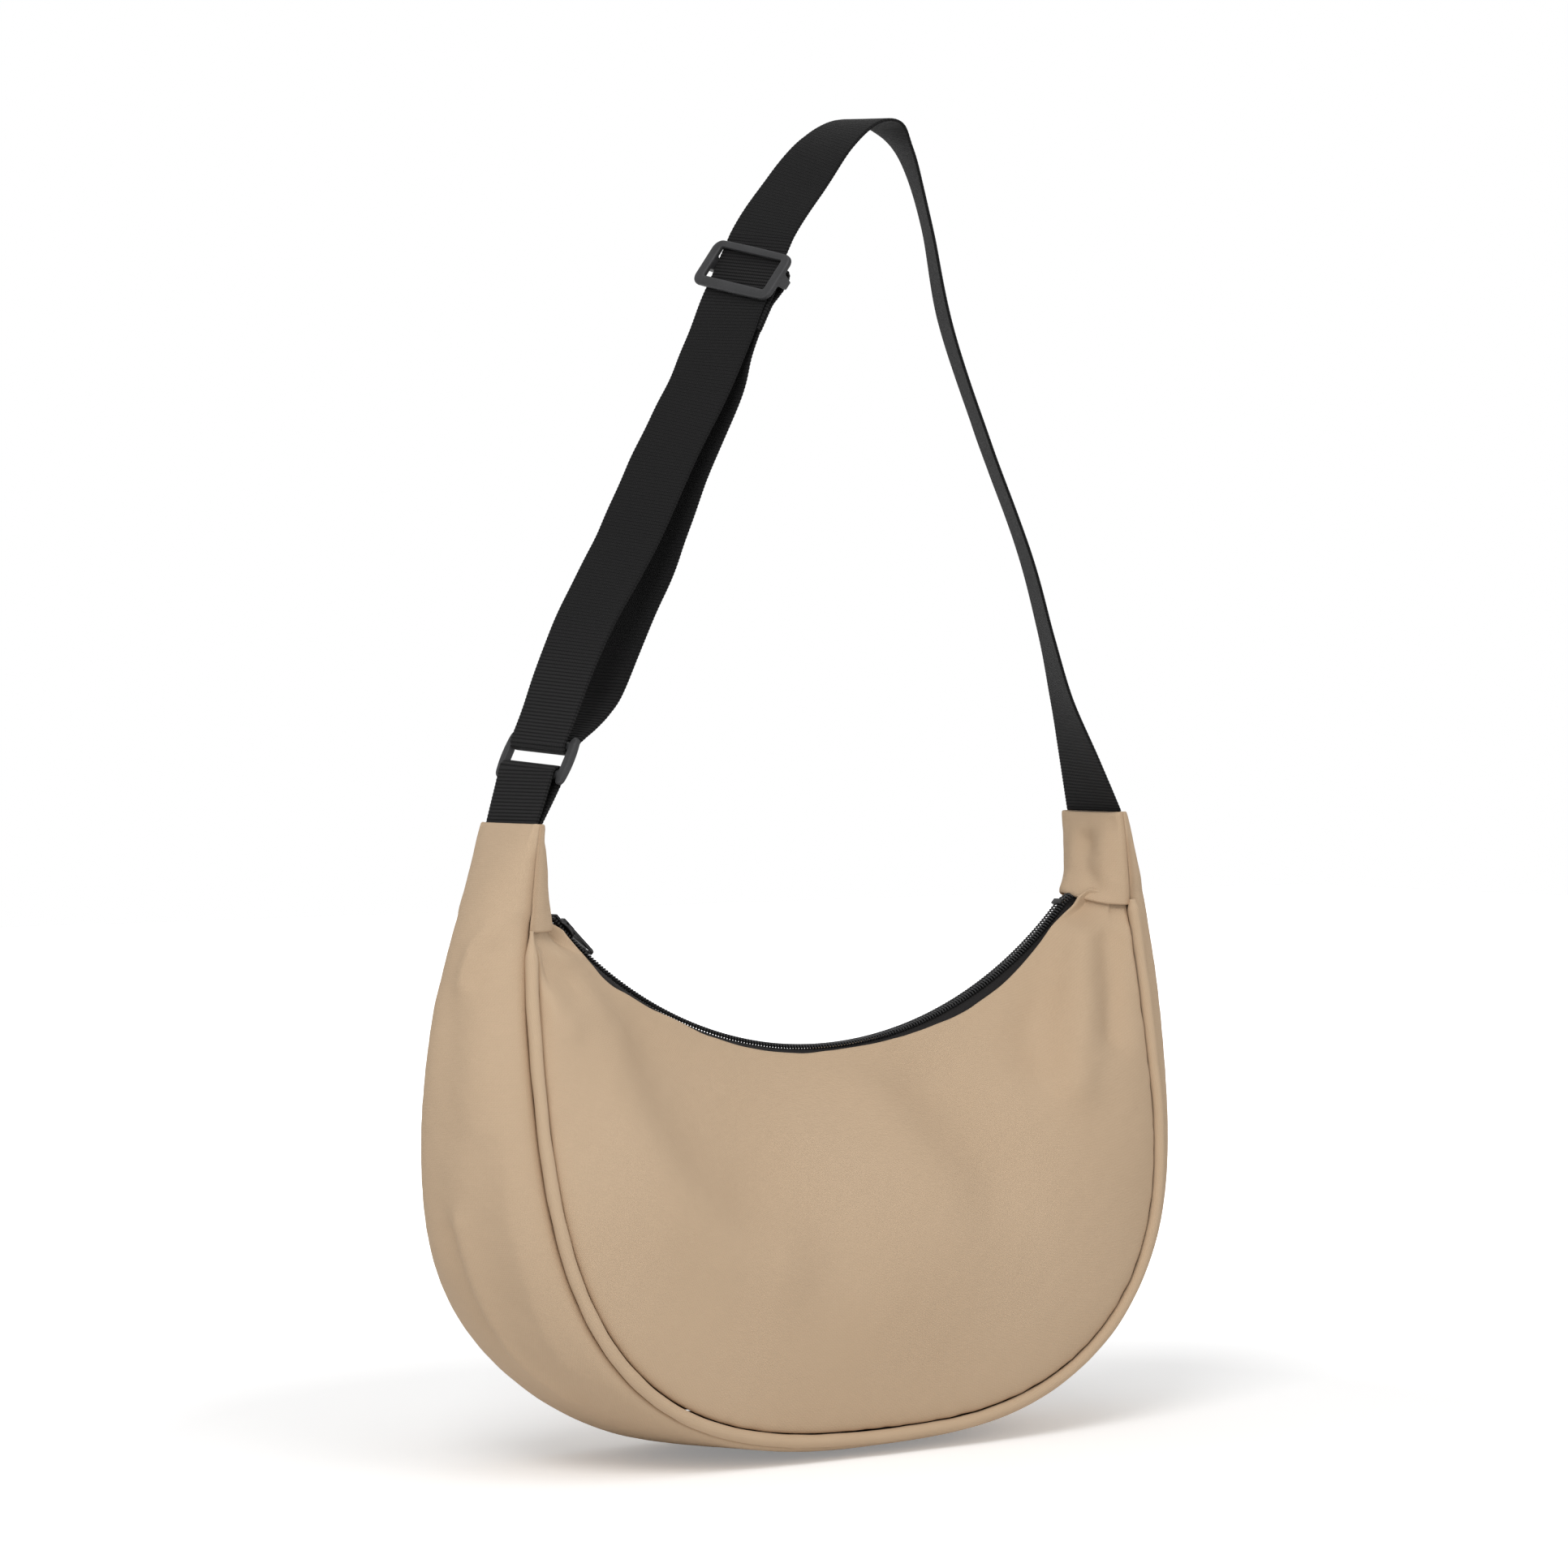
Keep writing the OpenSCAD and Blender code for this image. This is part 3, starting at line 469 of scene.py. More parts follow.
tan_dark, tan_light = (0.500, 0.360, 0.234), (0.585, 0.437, 0.299)
fabric = cloth("tan_canvas", tan_dark, tan_light)
cord_fabric = cloth("tan_piping", tan_dark, tuple(1.02 * c for c in tan_light), lean_by=45.0, mottle=0.25)
lining = cloth("charcoal_lining", (0.028, 0.027, 0.027), (0.060, 0.057, 0.055), weave=0.3, sheen=0.05,
               rough=(0.5, 0.65), depth=0.00008, seam_shade=(0.02, 0.02, 0.02))
tape_cloth = cloth("zip_tape", (0.0075, 0.0068, 0.0068), (0.020, 0.018, 0.018), weave=0.55, sheen=0.04,
                   rough=(0.7, 0.88), depth=0.00012, seam_shade=(0.010, 0.004, 0.003))
black_webbing = webbing_cloth("black_webbing")
coil_nylon = plastic("black_coil", (0.008, 0.008, 0.009), (0.018, 0.018, 0.019), (0.36, 0.54),
                     2600.0, 0.00002, specular=0.3)
dark_metal = plastic("black_paint", (0.006, 0.006, 0.007), (0.014, 0.013, 0.014), (0.34, 0.5),
                     1500.0, 0.00003, specular=0.3, coat=0.1)
grey_plastic = plastic("grey_plastic", (0.022, 0.022, 0.023), (0.036, 0.036, 0.038), (0.46, 0.6),
                       1900.0, 0.00005, specular=0.28)
thread = cloth("black_thread", (0.010, 0.010, 0.010), (0.030, 0.030, 0.030), weave=0.35, sheen=0.1)


# ---- webbing
def width_dir(d, twist):
    w = unit(np.array([0.0, -1.0, 0.0]) + d * d[..., 1:2])
    n = np.cross(d, w)
    q = np.radians(np.asarray(twist, float))[..., None]
    return np.cos(q) * w + np.sin(q) * n


tilt = radians(ring_tilt)
ring_dir = np.array([sin(tilt), 0, cos(tilt)])
left_mouth = np.array([-horn_x, 0.0, 0.0])
top_bar = left_mouth + ring_dir * (loop_h + ring_pitch)
leg_top = np.array([-0.205 * horn_x, -0.38 * crest_lean, 0.83 * strap_h])
leg_l = np.linalg.norm(leg_top - top_bar)
glide_at = leg_l - 19.0
leg_dir = unit(leg_top - top_bar)
leg_twist, ring_twist = 12.0, 4.0
leg_w = width_dir(leg_dir, leg_twist)
leg_n = np.cross(leg_dir, leg_w)
ring_w = width_dir(leg_dir, ring_twist)
foot_n = np.cross(leg_dir, ring_w)
ring_n = unit(np.cross(ring_dir, ring_w))
ring_up = np.cross(ring_w, ring_n)
low_bar = top_bar - ring_up * ring_pitch


def leg_point(n, d):
    return top_bar + foot_n * n + leg_dir * d


def leg_across(d):
    """Direction across the left leg at distances from the ring: the webbing untwists towards it."""
    return width_dir(leg_dir, lerp(ring_twist, leg_twist, smooth(np.asarray(d) / (0.43 * leg_l))))


def leg_bow(d):
    """How the slack webbing of the left leg bows out just above the ring, and sways sideways further up."""
    bow_to, sway_from, sway_to = 100, 134, 226
    out = 3.2 * np.sin(np.pi * np.clip(d / bow_to, 0, 1)) ** 1.5
    sway = 2.2 * np.sin(np.pi * np.clip((d - sway_from) / (sway_to - sway_from), 0, 1)) ** 2
    return sway[:, None] * leg_across(d) - out[:, None] * foot_n


# The strap above its left leg: shares of horn_x, crest_lean and strap_h, and the twist in degrees
crest_shares = [(-.12, .55, .912, 11), (-.04, .80, .970, 6), (.045, .97, 1.003, 3), (.125, 1, 1.003, 8),
                (.18, 1.04, .977, 22), (.23, 1.04, .935, 30), (.29, 1, .850, 33), (.37, .85, .715, 31),
                (.525, .62, .555, 31), (.722, .15, .392, 31), (.825, -.05, .270, 30), (.883, -.06, .175, 25),
                (.945, 0, .080, 12), (1, 0, .001, 0)]
fine = 40
wrap = [leg_point(cos(q) * wrap_r, -sin(q) * wrap_r) for q in np.linspace(0, pi, 64)]
front_leg = [(*leg_point(-wrap_r, leg_l * i / 5), leg_twist) for i in (4, 5)]
crest = [(x * horn_x, -y * crest_lean, z * strap_h, t) for x, y, z, t in crest_shares]
upper = catmull(front_leg + crest, fine)[fine:]
upper_w = width_dir(unit(steps(upper[:, :3])), upper[:, 3])
straight = np.linspace(wrap[-1], front_leg[1][:3], 400)[1:-1]
straight_d = (straight - wrap[-1]) @ leg_dir
straight = straight + leg_bow(straight_d)
strap_mid = np.concatenate([wrap, straight, upper[:, :3]])
strap_w = np.concatenate([np.repeat(ring_w[None], len(wrap), 0), leg_across(straight_d), upper_w])
strap_run = running(strap_mid)
flex_at = strap_run[len(strap_mid) - 1 - 3 * fine]      # from here on the right leg's end is a mesh of its own
strap_l = strap_run[-1]


def ribbon(name, line, across, seed, start=0, stop=None, strength=0.35, thick=webbing_t):
    """Webbing along a line: woven ribs stand up from it, its selvedges are scalloped and a little uneven."""
    row_step, ragged, selvedge = 0.4, 0.12, 2.2
    run = running(line)
    stop = run[-1] if stop is None else stop
    at = np.linspace(start, stop, max(2, int(round((stop - start) / row_step)) + 1))
    mid, w = read_line(at, run, line), read_line(at, run, across)
    d = unit(steps(mid))
    w = unit(w - d * np.sum(w * d, 1)[:, None])
    n = np.cross(d, w)
    half, th = webbing_w / 2, thick / 2
    flat = np.array([-1, -0.93, -0.8, -0.6, -0.4, -0.2, 0, 0.2, 0.4, 0.6, 0.8, 0.93, 1]) * (half - th)
    arc = np.radians([60, 25, 0, -25, -60])
    xs = np.concatenate([flat, half - th + th * np.cos(arc), flat[::-1], -(half - th) - th * np.cos(arc)])
    level = np.full(len(flat), th)
    ys = np.concatenate([level, th * np.sin(arc), -level, -th * np.sin(arc)])
    amount = strength(at) if callable(strength) else np.full(len(at), strength)
    phase = 2 * pi * at / RIB
    right = waves(at[:, None], 34.0, seed) * ragged * 1.6
    left = waves(at[:, None], 27.0, seed + 5) * ragged * 1.6
    edge = np.clip((np.abs(xs) - (half - selvedge)) / selvedge, 0, 1)
    uneven = np.where(xs[None] > 0, right[:, None], left[:, None])
    grow = edge[None] * (ragged * np.sin(phase)[:, None] + uneven) * np.sign(xs)[None]
    lift = 0.09 * amount[:, None] * np.sin(phase)[:, None] * np.sign(ys)[None] * (1 - 0.6 * edge[None])
    pts = (mid[:, None] + (xs[None] + grow)[..., None] * w[:, None]
           + (ys[None] * 0.94 + lift)[..., None] * n[:, None])
    b = Build()
    b.capped(pts, pairs(at, running_round(np.stack([xs, ys], 1))), amount[:, None])
    ob = b.made(name, black_webbing)
    return ob


def strip(node):
    """Hides the CAD node that a strip of webbing stands for."""
    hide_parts(node)


def strap_ribs(at):
    """Ribs show most where the webbing bends: above the ring, in the adjuster and above the right mouth."""
    z = np.interp(at, strap_run, strap_mid[:, 2])
    left = at < strap_l * 0.55
    low = np.where(left, smooth((95 - z) / 45), smooth((48 - z) / 30))
    glide = np.where(left, hump(at, glide_at + 8, 16), 0)
    return 0.22 + 0.78 * np.clip(low + glide, 0, 1)


strap = ribbon("webbing_strap", strap_mid, strap_w, 3, 0, flex_at, strap_ribs)
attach(strap, "strap")
strip("shoulder_strap")

strap_end = ribbon("webbing_right_end", strap_mid, strap_w, 3, flex_at, strap_l, strap_ribs)
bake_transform(strap_end)
strip("strap_right_end")

# The loop: up from the left mouth, round the ring's low bar and down again
loop_side = {s: np.linspace(left_mouth + [s * 0.9, 0, -2.0], low_bar + s * wrap_r * ring_n, 80)
             for s in (-1, 1)}
bend = np.array([low_bar + wrap_r * (cos(q) * ring_n + sin(q) * ring_up)
                 for q in np.linspace(pi, 0, 64)])
loop_mid = np.concatenate([loop_side[-1], bend[1:-1], loop_side[1][::-1]])
side_w = lerp(np.array([[0.0, -1.0, 0.0]]), ring_w[None], np.linspace(0, 1, 80)[:, None])
loop_w = np.concatenate([side_w, np.repeat(ring_w[None], 62, 0), side_w[::-1]])
loop = ribbon("webbing_loop", loop_mid, loop_w, 8, strength=0.95)
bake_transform(loop)
strip("left_loop")

leg_base = leg_point(-wrap_r, 0)
# The return layer behind the left leg: shares of glide_at along the leg and behind it
return_shares = [(.015, .002), (.034, .012), (.06, .028), (.095, .045), (.14, .057), (.22, .058), (.34, .048),
                 (.48, .032), (.62, .018), (.76, .008)]
return_end = glide_at - 26.3
back = catmull([(6.1, 0.6)] + [(6.1 + y * glide_at, x * glide_at) for x, y in return_shares]
               + [(4.2, glide_at - 39), (3.45, return_end)], 24)
back_w = leg_across(back[:, 1])
back_mid = (leg_base + back[:, :1] * np.cross(leg_dir, back_w) + back[:, 1:] * leg_dir
            + leg_bow(back[:, 1]))
slack = ribbon("webbing_return", back_mid, back_w, 12,
               strength=lambda at: 0.35 + 0.5 * smooth((60 - at) / 45))
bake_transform(slack)
strip("strap_return")

# The sewn end: up in front of the centre bar, over it and down behind, as (behind the leg, along it)
sewn_sideways = 1.2
fold_up = glide_slot_w / 2 * sin(radians(glide_turn))
fold = ([(1.8, -26.0), (1.8, -13.0), (1.8, fold_up)]
        + [(4.1 + cos(q) * 2.3, fold_up + sin(q) * 2.3) for q in np.radians(np.arange(170, 5, -10))]
        + [(6.4, fold_up), (6.4, -fold_up), (5.0, -7.5), (3.7, -12.0), (3.45, -16.0), (3.45, -26.0)])
fold = catmull(fold, 12)
fold_mid = leg_base + fold[:, :1] * leg_n + (fold[:, 1:] + glide_at) * leg_dir + sewn_sideways * leg_w
sewn = ribbon("webbing_sewn_end", fold_mid, np.repeat(leg_w[None], len(fold_mid), 0), 15, strength=0.9)
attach(sewn, "adjuster")
strip("strap_sewn_end")

# Rows of stitches that close the folded end, seen from behind
stitches = Build()
for d0 in (-8.5, -10.5, -21.5, -23.5):
    for x in np.arange(-17.0, 17.1, 2.4):
        q = np.linspace(-0.9, 0.9, 5)
        level = np.interp(d0, [-16, -12, -7.5, -2.6], [3.45, 3.7, 5.0, 6.4]) + 0.78
        centre = leg_base + leg_n * level + (glide_at + d0) * leg_dir
        pts = [centre + leg_w * (x + u) + leg_n * 0.18 * cos(u / 0.95 * 1.5) for u in q]
        tube(stitches, pts, 0.24 * np.array([0.5, 1, 1, 1, 0.5]), 6, side_dir=leg_dir)
ob = stitches.made("sewn_end_stitches", thread)
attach(ob, "adjuster")


# ---- shape of the bag
def side_x(z):
    u = (z + drop) / drop
    return half_w - lean * u * u


def depth_share(z):
    return np.sin(np.pi / 2 * np.clip((-z / (drop + bowl_h) - 0.114) / 0.751, 0, 1)) ** 1.5


def face_y(side, z):
    """How far the front's seam (side -1) or the back's (side 1) lies from the horns' middle."""
    return side * (horn_half_d + (front_gain if side < 0 else back_gain) * depth_share(z))


def horn_swell(x, z):
    return np.sin(np.pi / 2 * np.clip(-z / (np.where(x < 0, 1.15, 0.75) * drop), 0, 1)) ** 0.8


zs = -drop * np.linspace(0, 1, 65)
qs = np.linspace(0, np.pi / 2, 241)[1:]
half_seam = np.concatenate([
    np.stack([side_x(zs), zs], 1),
    np.stack([half_w * np.cos(qs) ** (2 / power), -drop - bowl_h * np.sin(qs) ** (2 / power)], 1)])
seam_line = np.concatenate([half_seam * [-1, 1], half_seam[-2::-1]])
seam_run = running(seam_line)


def seam_at(s):
    return read_line(np.clip(s, 0, 1) * seam_run[-1], seam_run, seam_line)


def seam_out(s):
    d = unit(seam_at(s + 0.004) - seam_at(s - 0.004))
    return np.stack([d[..., 1], -d[..., 0]], -1)


def hem_share(side):
    top = tab_l[side] + 0.3 + fabric_t
    return hypot(side_x(-top) - side_x(0), top) / seam_run[-1]


left_hem, right_hem = hem_share(-1), hem_share(1)


def zip_point(angle, low, y):
    q = np.radians(angle)
    return np.stack(np.broadcast_arrays((zip_r + low) * np.sin(q), y, zip_z - (zip_r + low) * np.cos(q)), -1)


# The tabs' hems: how far each stands out and how far it lies above the tab's end, from front (-1) to back (1)
HEM_FLARE = {-1: [(-1, 0), (-0.8, 1.3), (-0.4, 0.9), (0.4, 0.9), (1, 0)],
             1: [(-1, 0), (-0.6, 2.2), (-0.15, 4.4), (0.3, 4.0), (0.65, 2.4), (1, 0)]}
HEM_DROP = {-1: [(-1, -2.2), (1, -2.2)],
            1: [(-1, -4.4), (-0.8, -3.9), (-0.4, -1.7), (0, 0), (0.35, 1.2), (0.7, -0.2), (1, -2)]}


def table(rows, t):
    """Straight lines through rows of (t, value), read at t."""
    return np.interp(t, *zip(*rows))


HEM_CLEAR = 1.9      # how far below a tab's face the cloth under it lies


def under_tab(p, end, share):
    """Presses points near a tab's hem in, to pass under it. share is how far each one follows."""
    t = p[..., 1] / horn_half_d
    size = np.abs(t)
    rise = tab_ridge[end] - mouth_wall
    wall = mouth_wall * (1 - smooth((size - 0.93) / 0.07))
    reach = wall + table(HEM_FLARE[end], t) + rise * (1 - size ** 3)
    slope = 3 * rise * size ** 2 / horn_half_d
    level = 1 / np.sqrt(1 + slope ** 2)
    height = (side_x(p[..., 2]) - reach - end * p[..., 0]) * level      # over the tab's face
    below = -tab_l[end] + table(HEM_DROP[end], t) - p[..., 2]
    near = (1 - smooth((below - 0.3) / 12)) * (end * p[..., 0] > 100) * share
    push = np.maximum(0, HEM_CLEAR + height) * near
    p[..., 0] += end * level * push
    p[..., 1] -= np.sign(t) * slope * level * push


# The panels' edges: places along X and how far each edge lies below the teeth there
FRONT_EDGE = [(-150, 1.6), (-141, 2.2), (-134, 2.9), (-127, 3.9), (-118, 4.9), (-109, 3.5), (-98, 2.9),
              (-90, 2.1), (-82, 1.6), (-72, 2.3), (-60, 2.2), (-49, 2.4), (-26, 2.0), (-14, 1.8), (0, 0.8),
              (44, 0.7), (60, 1.2), (79, 2.3), (90, 2.0), (102, 1.8), (113, 0.7), (125, -0.8), (136, -2.4),
              (148, -1.4), (153, -1.0)]
BACK_EDGE = [(-150, 2.0), (-120, 1.0), (20, 1.0), (60, 1.8), (100, 3.0), (130, 4.4), (153, 4.8)]


def smooth_table(rows, x):
    """A smooth curve through rows of (x, value), read at x."""
    px, py = np.array(rows, float).T
    k = np.clip(np.searchsorted(px, x) - 1, 0, len(px) - 2)
    slope = np.gradient(py, px)
    h = px[k + 1] - px[k]
    t = np.clip((x - px[k]) / h, 0, 1)
    return ((1 + 2 * t) * (1 - t) ** 2 * py[k] + t * (1 - t) ** 2 * h * slope[k]
            + t * t * (3 - 2 * t) * py[k + 1] + t * t * (t - 1) * h * slope[k + 1])


EDGE_Y = 8.4      # how far each panel's edge stays from the middle of the zip
CROWN = 0.13      # how far a panel bulges, as a share of its height


def panel_point(u, v, side):
    """u runs along the panel from left to right and v from the zip down to the seam."""
    angle = lerp(-left_end, right_end, u)
    low_by = smooth_table(FRONT_EDGE if side < 0 else BACK_EDGE, zip_r * np.sin(np.radians(angle)))
    top = zip_point(angle, low_by, side * EDGE_Y)
    s = lerp(left_hem, 1 - right_hem, u)
    c, out = seam_at(s), seam_out(s)
    low = np.stack([c[..., 0] - out[..., 0] * seam_inset, face_y(side, c[..., 1]),
                    c[..., 1] - out[..., 1] * seam_inset], -1)
    span = np.linalg.norm(low - top, axis=-1)
    crown = CROWN * span * 4 * v * (1 - v)
    p = top * (1 - v)[..., None] + low * v[..., None]
    p[..., 1] += side * crown
    return p, span


def edge_profile(t, wall):
    return lerp(SEAM_EDGE, wall, np.clip((1 - np.abs(t)) / 0.05, 0, 1))


def gusset_point(s, t, grow=0.0):
    c, out = seam_at(s), seam_out(s)
    z = c[..., 1]
    hem = np.where(c[..., 0] < 0, tab_l[-1], tab_l[1])
    inset = (piping_r - 1.3) * smooth((-z - hem + 8) / 8)
    wall = lerp(edge_profile(t, mouth_wall), piping_r * (0.3 + 0.46 * t ** 4), smooth((-z - hem) / hem))
    side_bulge = np.where(c[..., 0] < 0, left_bulge, right_bulge)
    bulge = lerp(bottom_bulge, side_bulge, np.abs(out[..., 0]) ** 2.5) * horn_swell(c[..., 0], z)
    swell = wall + bulge * (1 - np.abs(t) ** 2.2) ** 0.6 + grow
    y = lerp(face_y(-1, z) + inset, face_y(1, z) - inset, (t + 1) / 2)
    return np.stack([c[..., 0] + out[..., 0] * swell, y, z + out[..., 1] * swell], -1)


def ridge(pu, pv, line, width, height):
    """A soft fold along a line of (u, v) points: highest on the line and gone a width away from it."""
    best = np.full(pu.shape, 1e9)
    for (a, b), (c, d) in zip(line[:-1], line[1:]):
        ex, ey = c - a, d - b
        k = np.clip(((pu - a) * ex + (pv - b) * ey) / (ex * ex + ey * ey), 0, 1)
        best = np.minimum(best, np.hypot(pu - a - k * ex, pv - b - k * ey))
    return height * hump(best, 0, width)


def panel_surface(side):
    u, v = np.meshgrid(shares(0, 1, 190, 0.001, 0.0024), shares(0, 1, 84, 0.004, 0.0096), indexing="ij")
    p, span = panel_point(u, v, side)
    to_seam, to_zip = (1 - v) * span, v * span
    n = grid_normals(p) * side
    x, z = p[..., 0], p[..., 2]
    inner = smooth(to_seam / 9) * smooth(to_zip / 20)
    lift = 1.5 * (1 - np.exp(-to_seam / 3.5)) * np.exp(-to_seam / 22)      # puffed beside the piping
    lift += 0.7 * hump(to_zip, 0, 2.2)      # folded edge along the zip
    lift += inner * 0.6 * waves(p[..., [0, 2]], 95.0, 21 + side)
    for line, width, height in (FRONT_FOLDS if side < 0 else BACK_FOLDS):
        lift += inner * ridge(x, z, line, width, height)
    lift += 0.10 * waves(p, 7.0, 31) * smooth(to_seam / 4)
    lift += 0.35 * np.sin(u * 310 + 2 * np.sin(u * 37)) * hump(to_seam, 0, 5.5) * waves(p, 40.0, 33)
    p = p + n * lift[..., None]
    # The ends pass under the tabs' hems beside the seams, and reach the tabs' faces beside the zip
    under = smooth((v - 0.35) / 0.3)
    for end, from_end, free_y in ((-1, u, 8.6), (1, 1 - u, 7.8)):
        near = smooth(1 - from_end / 0.024)
        p[..., 2] += 4.0 * near ** 2 * under
        p[..., 0] += end * 4.8 * near ** 2 * (1 - under)
        under_tab(p, end, smooth((np.abs(p[..., 1]) - free_y) / 2.8))
    # Painted shade: a darker band on the panel beside the piping's seam.
    return p, 0.5 * hump(to_seam, 0, 1.7)


# Folds as lines of (x, z) in mm, each with its half width and height
FRONT_FOLDS = [
    ([(-130, -56), (-132, -100), (-127, -131), (-108, -163), (-84, -181), (-60, -190)], 20, 5.6),
    ([(-106, -84), (-100, -112), (-90, -136), (-70, -154)], 34, -5.2),
    ([(-164, -58), (-148, -64), (-132, -62)], 10, -5.6),
    ([(-168, -74), (-158, -86)], 8, 2.2),
    ([(6, -104), (23, -134), (45, -164)], 19, 3.4),
    ([(44, -108), (64, -160)], 25, -4.4),
    ([(-40, -112), (-62, -118)], 20, -2.0),
    ([(140, -44), (134, -84), (121, -122)], 11, 6.0),
    ([(117, -66), (109, -108)], 15, -5.4),
    ([(156, -58), (149, -100)], 9, -5.0),
    ([(10, -212), (34, -205)], 34, 1.4),
]
BACK_FOLDS = [
    ([(-126, -70), (-118, -120), (-90, -160)], 15, 4.0),
    ([(-104, -90), (-88, -130)], 14, -2.8),
    ([(118, -66), (104, -112), (76, -146)], 14, 3.8),
    ([(-150, -70), (-146, -104)], 9, -2.8),
    ([(-20, -120), (10, -160), (30, -200)], 20, -2.6),
    ([(20, -112), (42, -150)], 14, 2.4),
    ([(146, -70), (146, -108)], 9, -2.8),
]
# Kinds of cloth: thickness, material and slot
SHELL = (fabric_t, fabric, "shell_fabric")
LINING = (0.6, lining, "lining_cloth")
SIDES = ((-1, "front"), (1, "back"))
for side, name in SIDES:
    p, shade = panel_surface(side)
    shell(f"{name}_panel_cloth", f"{name}_panel", p, side, SHELL, shade)


# Gusset: the strip round the sides and the bottom. Its folds are lines of (mm across, z)
GUSSET_FOLDS = [
    ([(-7, -68), (-10, -53), (-15, -46), (-20, -43)], 4.5, 2.2),
    ([(-13, -66), (-17, -56)], 5.0, -2.0),
    ([(-9, -165), (-10, -184), (-10, -202), (-10, -220), (-15, -234)], 5.0, 2.8),
    ([(-2, -170), (-2, -206)], 7.0, -2.0),
    ([(-34, -126), (-36, -149), (-36, -165), (-38, -183), (-37, -200), (-35, -221)], 4.5, 2.0),
    ([(-23, -140), (-24, -196)], 8.0, -1.6),
    ([(10, -80), (14, -130), (12, -180)], 9.0, 2.0),
    ([(-4, -86), (-8, -130)], 9.0, -1.4),
]
# s runs along the strip and t across it
s, t = np.meshgrid(shares(0, 1, 330, 0.0007, 0.0018), shares(-1, 1, 67, 0.005, 0.015, 0.04), indexing="ij")
p = gusset_point(s, t)
c = seam_at(s)
z = c[..., 1]
out = seam_out(s)
left = c[..., 0] < 0
open_t = 1 - np.abs(t) ** 6
half_across = 0.5 * (face_y(1, z) - face_y(-1, z))
across_mm = t * half_across
edge_mm = (1 - np.abs(t)) * half_across
grow = open_t * waves(p, 80.0, 41) * smooth(-z / 60)
puff = 1.5 * (1 - np.exp(-edge_mm / 1.6)) * np.exp(-edge_mm / 9)      # beside the piping
grow += puff * smooth((-z - 50) / 20)
for line, width, height in GUSSET_FOLDS:
    grow += np.where(left, open_t, 0) * ridge(across_mm, z, line, width, height)
    grow += np.where(left, 0, 0.7 * open_t) * ridge(-across_mm, z, line, width, height)
grow += 0.10 * waves(p, 7.0, 43) * open_t
grow += 0.45 * hump(z, -2.2, 1.8) * open_t      # the mouths' hems
grow -= 1.6 * smooth((np.abs(t) - 0.6) / 0.4) * hump(z, 0, 5) * open_t      # rounded mouth corners
p = p + np.stack([out[..., 0], np.zeros_like(t), out[..., 1]], -1) * grow[..., None]
# Painted shade: a thin dark line along the gusset's edges beside the piping, below the mouths.
shade = 0.4 * hump(edge_mm, 0, 0.4) * smooth((-z - 6) / 10)
shell("gusset_cloth", "gusset", p, -1, SHELL, shade)


# Piping: covered cords in both seams
stations = np.arange(620)
c_line = seam_at(np.linspace(left_hem, 1 - right_hem, len(stations)))
ends = np.minimum(0.3 + 0.7 * smooth(stations / 12.0), 0.5 + 0.5 * smooth(stations[::-1] / 5.0))
for side, name in SIDES:
    line = np.stack([c_line[:, 0], face_y(side, c_line[:, 1]), c_line[:, 1]], 1)
    line += 0.16 * np.stack([waves(line, 26.0, 51 + side + k) for k in range(3)], 1)
    b = Build()
    tube(b, line, piping_r * ends * (1 + 0.03 * waves(line, 11.0, 57)), 20)
    dress(b.made(f"{name}_piping_cord", cord_fabric), "bag", f"{name}_piping")


# Tabs: the hemmed inner halves of the horns. r runs from the mouth down to the hem and t from front to back
r, t = np.meshgrid(shares(0, 1, 46, 0.012, 0.03), shares(-1, 1, 57, 0.01, 0.03), indexing="ij")
for side, name in ((-1, "left"), (1, "right")):
    z = -tab_l[side] * r
    rise = (tab_ridge[side] - mouth_wall) * np.sin(np.pi / 2 * r) ** 0.7
    reach = edge_profile(t, mouth_wall) + rise * (1 - np.abs(t) ** 3)
    if side > 0:
        reach -= 1.3 * (1 - t ** 4) * np.sin(np.pi * r) ** 0.5
        creases = (-2.2 * hump(r, 0.36, 0.17) * hump(t, -0.12, 0.34)
                   + ridge(r * 44, t * 21, [(16, 0), (28, -4), (38, -10)], 5.5, -2.0)
                   + ridge(r * 44, t * 21, [(24, 5), (40, 7)], 6.0, 1.3)
                   + ridge(r * 44, t * 21, [(16, -14), (32, -16)], 4.5, 0.8))
    else:
        creases = (-1.2 * hump(r, 0.62, 0.2) * hump(t, -0.5, 0.25)
                   + 0.8 * hump(r, 0.25, 0.2) * hump(t, 0.3, 0.3))
    reach += (1 - t ** 4) * creases
    hem = table(HEM_DROP[side], t) * smooth((r - 0.3) / 0.7)
    reach += table(HEM_FLARE[side], t) * smooth((r - 0.7) / 0.3) * (1 - np.abs(t) ** 12)
    reach += 0.12 * waves(np.stack([t * 21, z, 0 * z], -1), 8.0, 61)
    reach += 0.35 * hump(r, 0.05, 0.035) * (1 - t ** 8) + 0.30 * hump(r, 0.955, 0.035) * (1 - t ** 8)
    p = np.stack([side * (side_x(z) - reach), horn_half_d * t, z + hem], -1)
    # Painted shade: a thin dark line along the tab's front and back edges, where it meets the gusset.
    shade = 0.3 * hump((1 - np.abs(t)) * 21, 0, 0.5)
    shell(f"{name}_tab_cloth", f"{name}_tab", p, -side, SHELL, shade)


# Linings and the slip pocket inside
LINING_TOP = 10.6      # how far below the panels' edges the linings begin


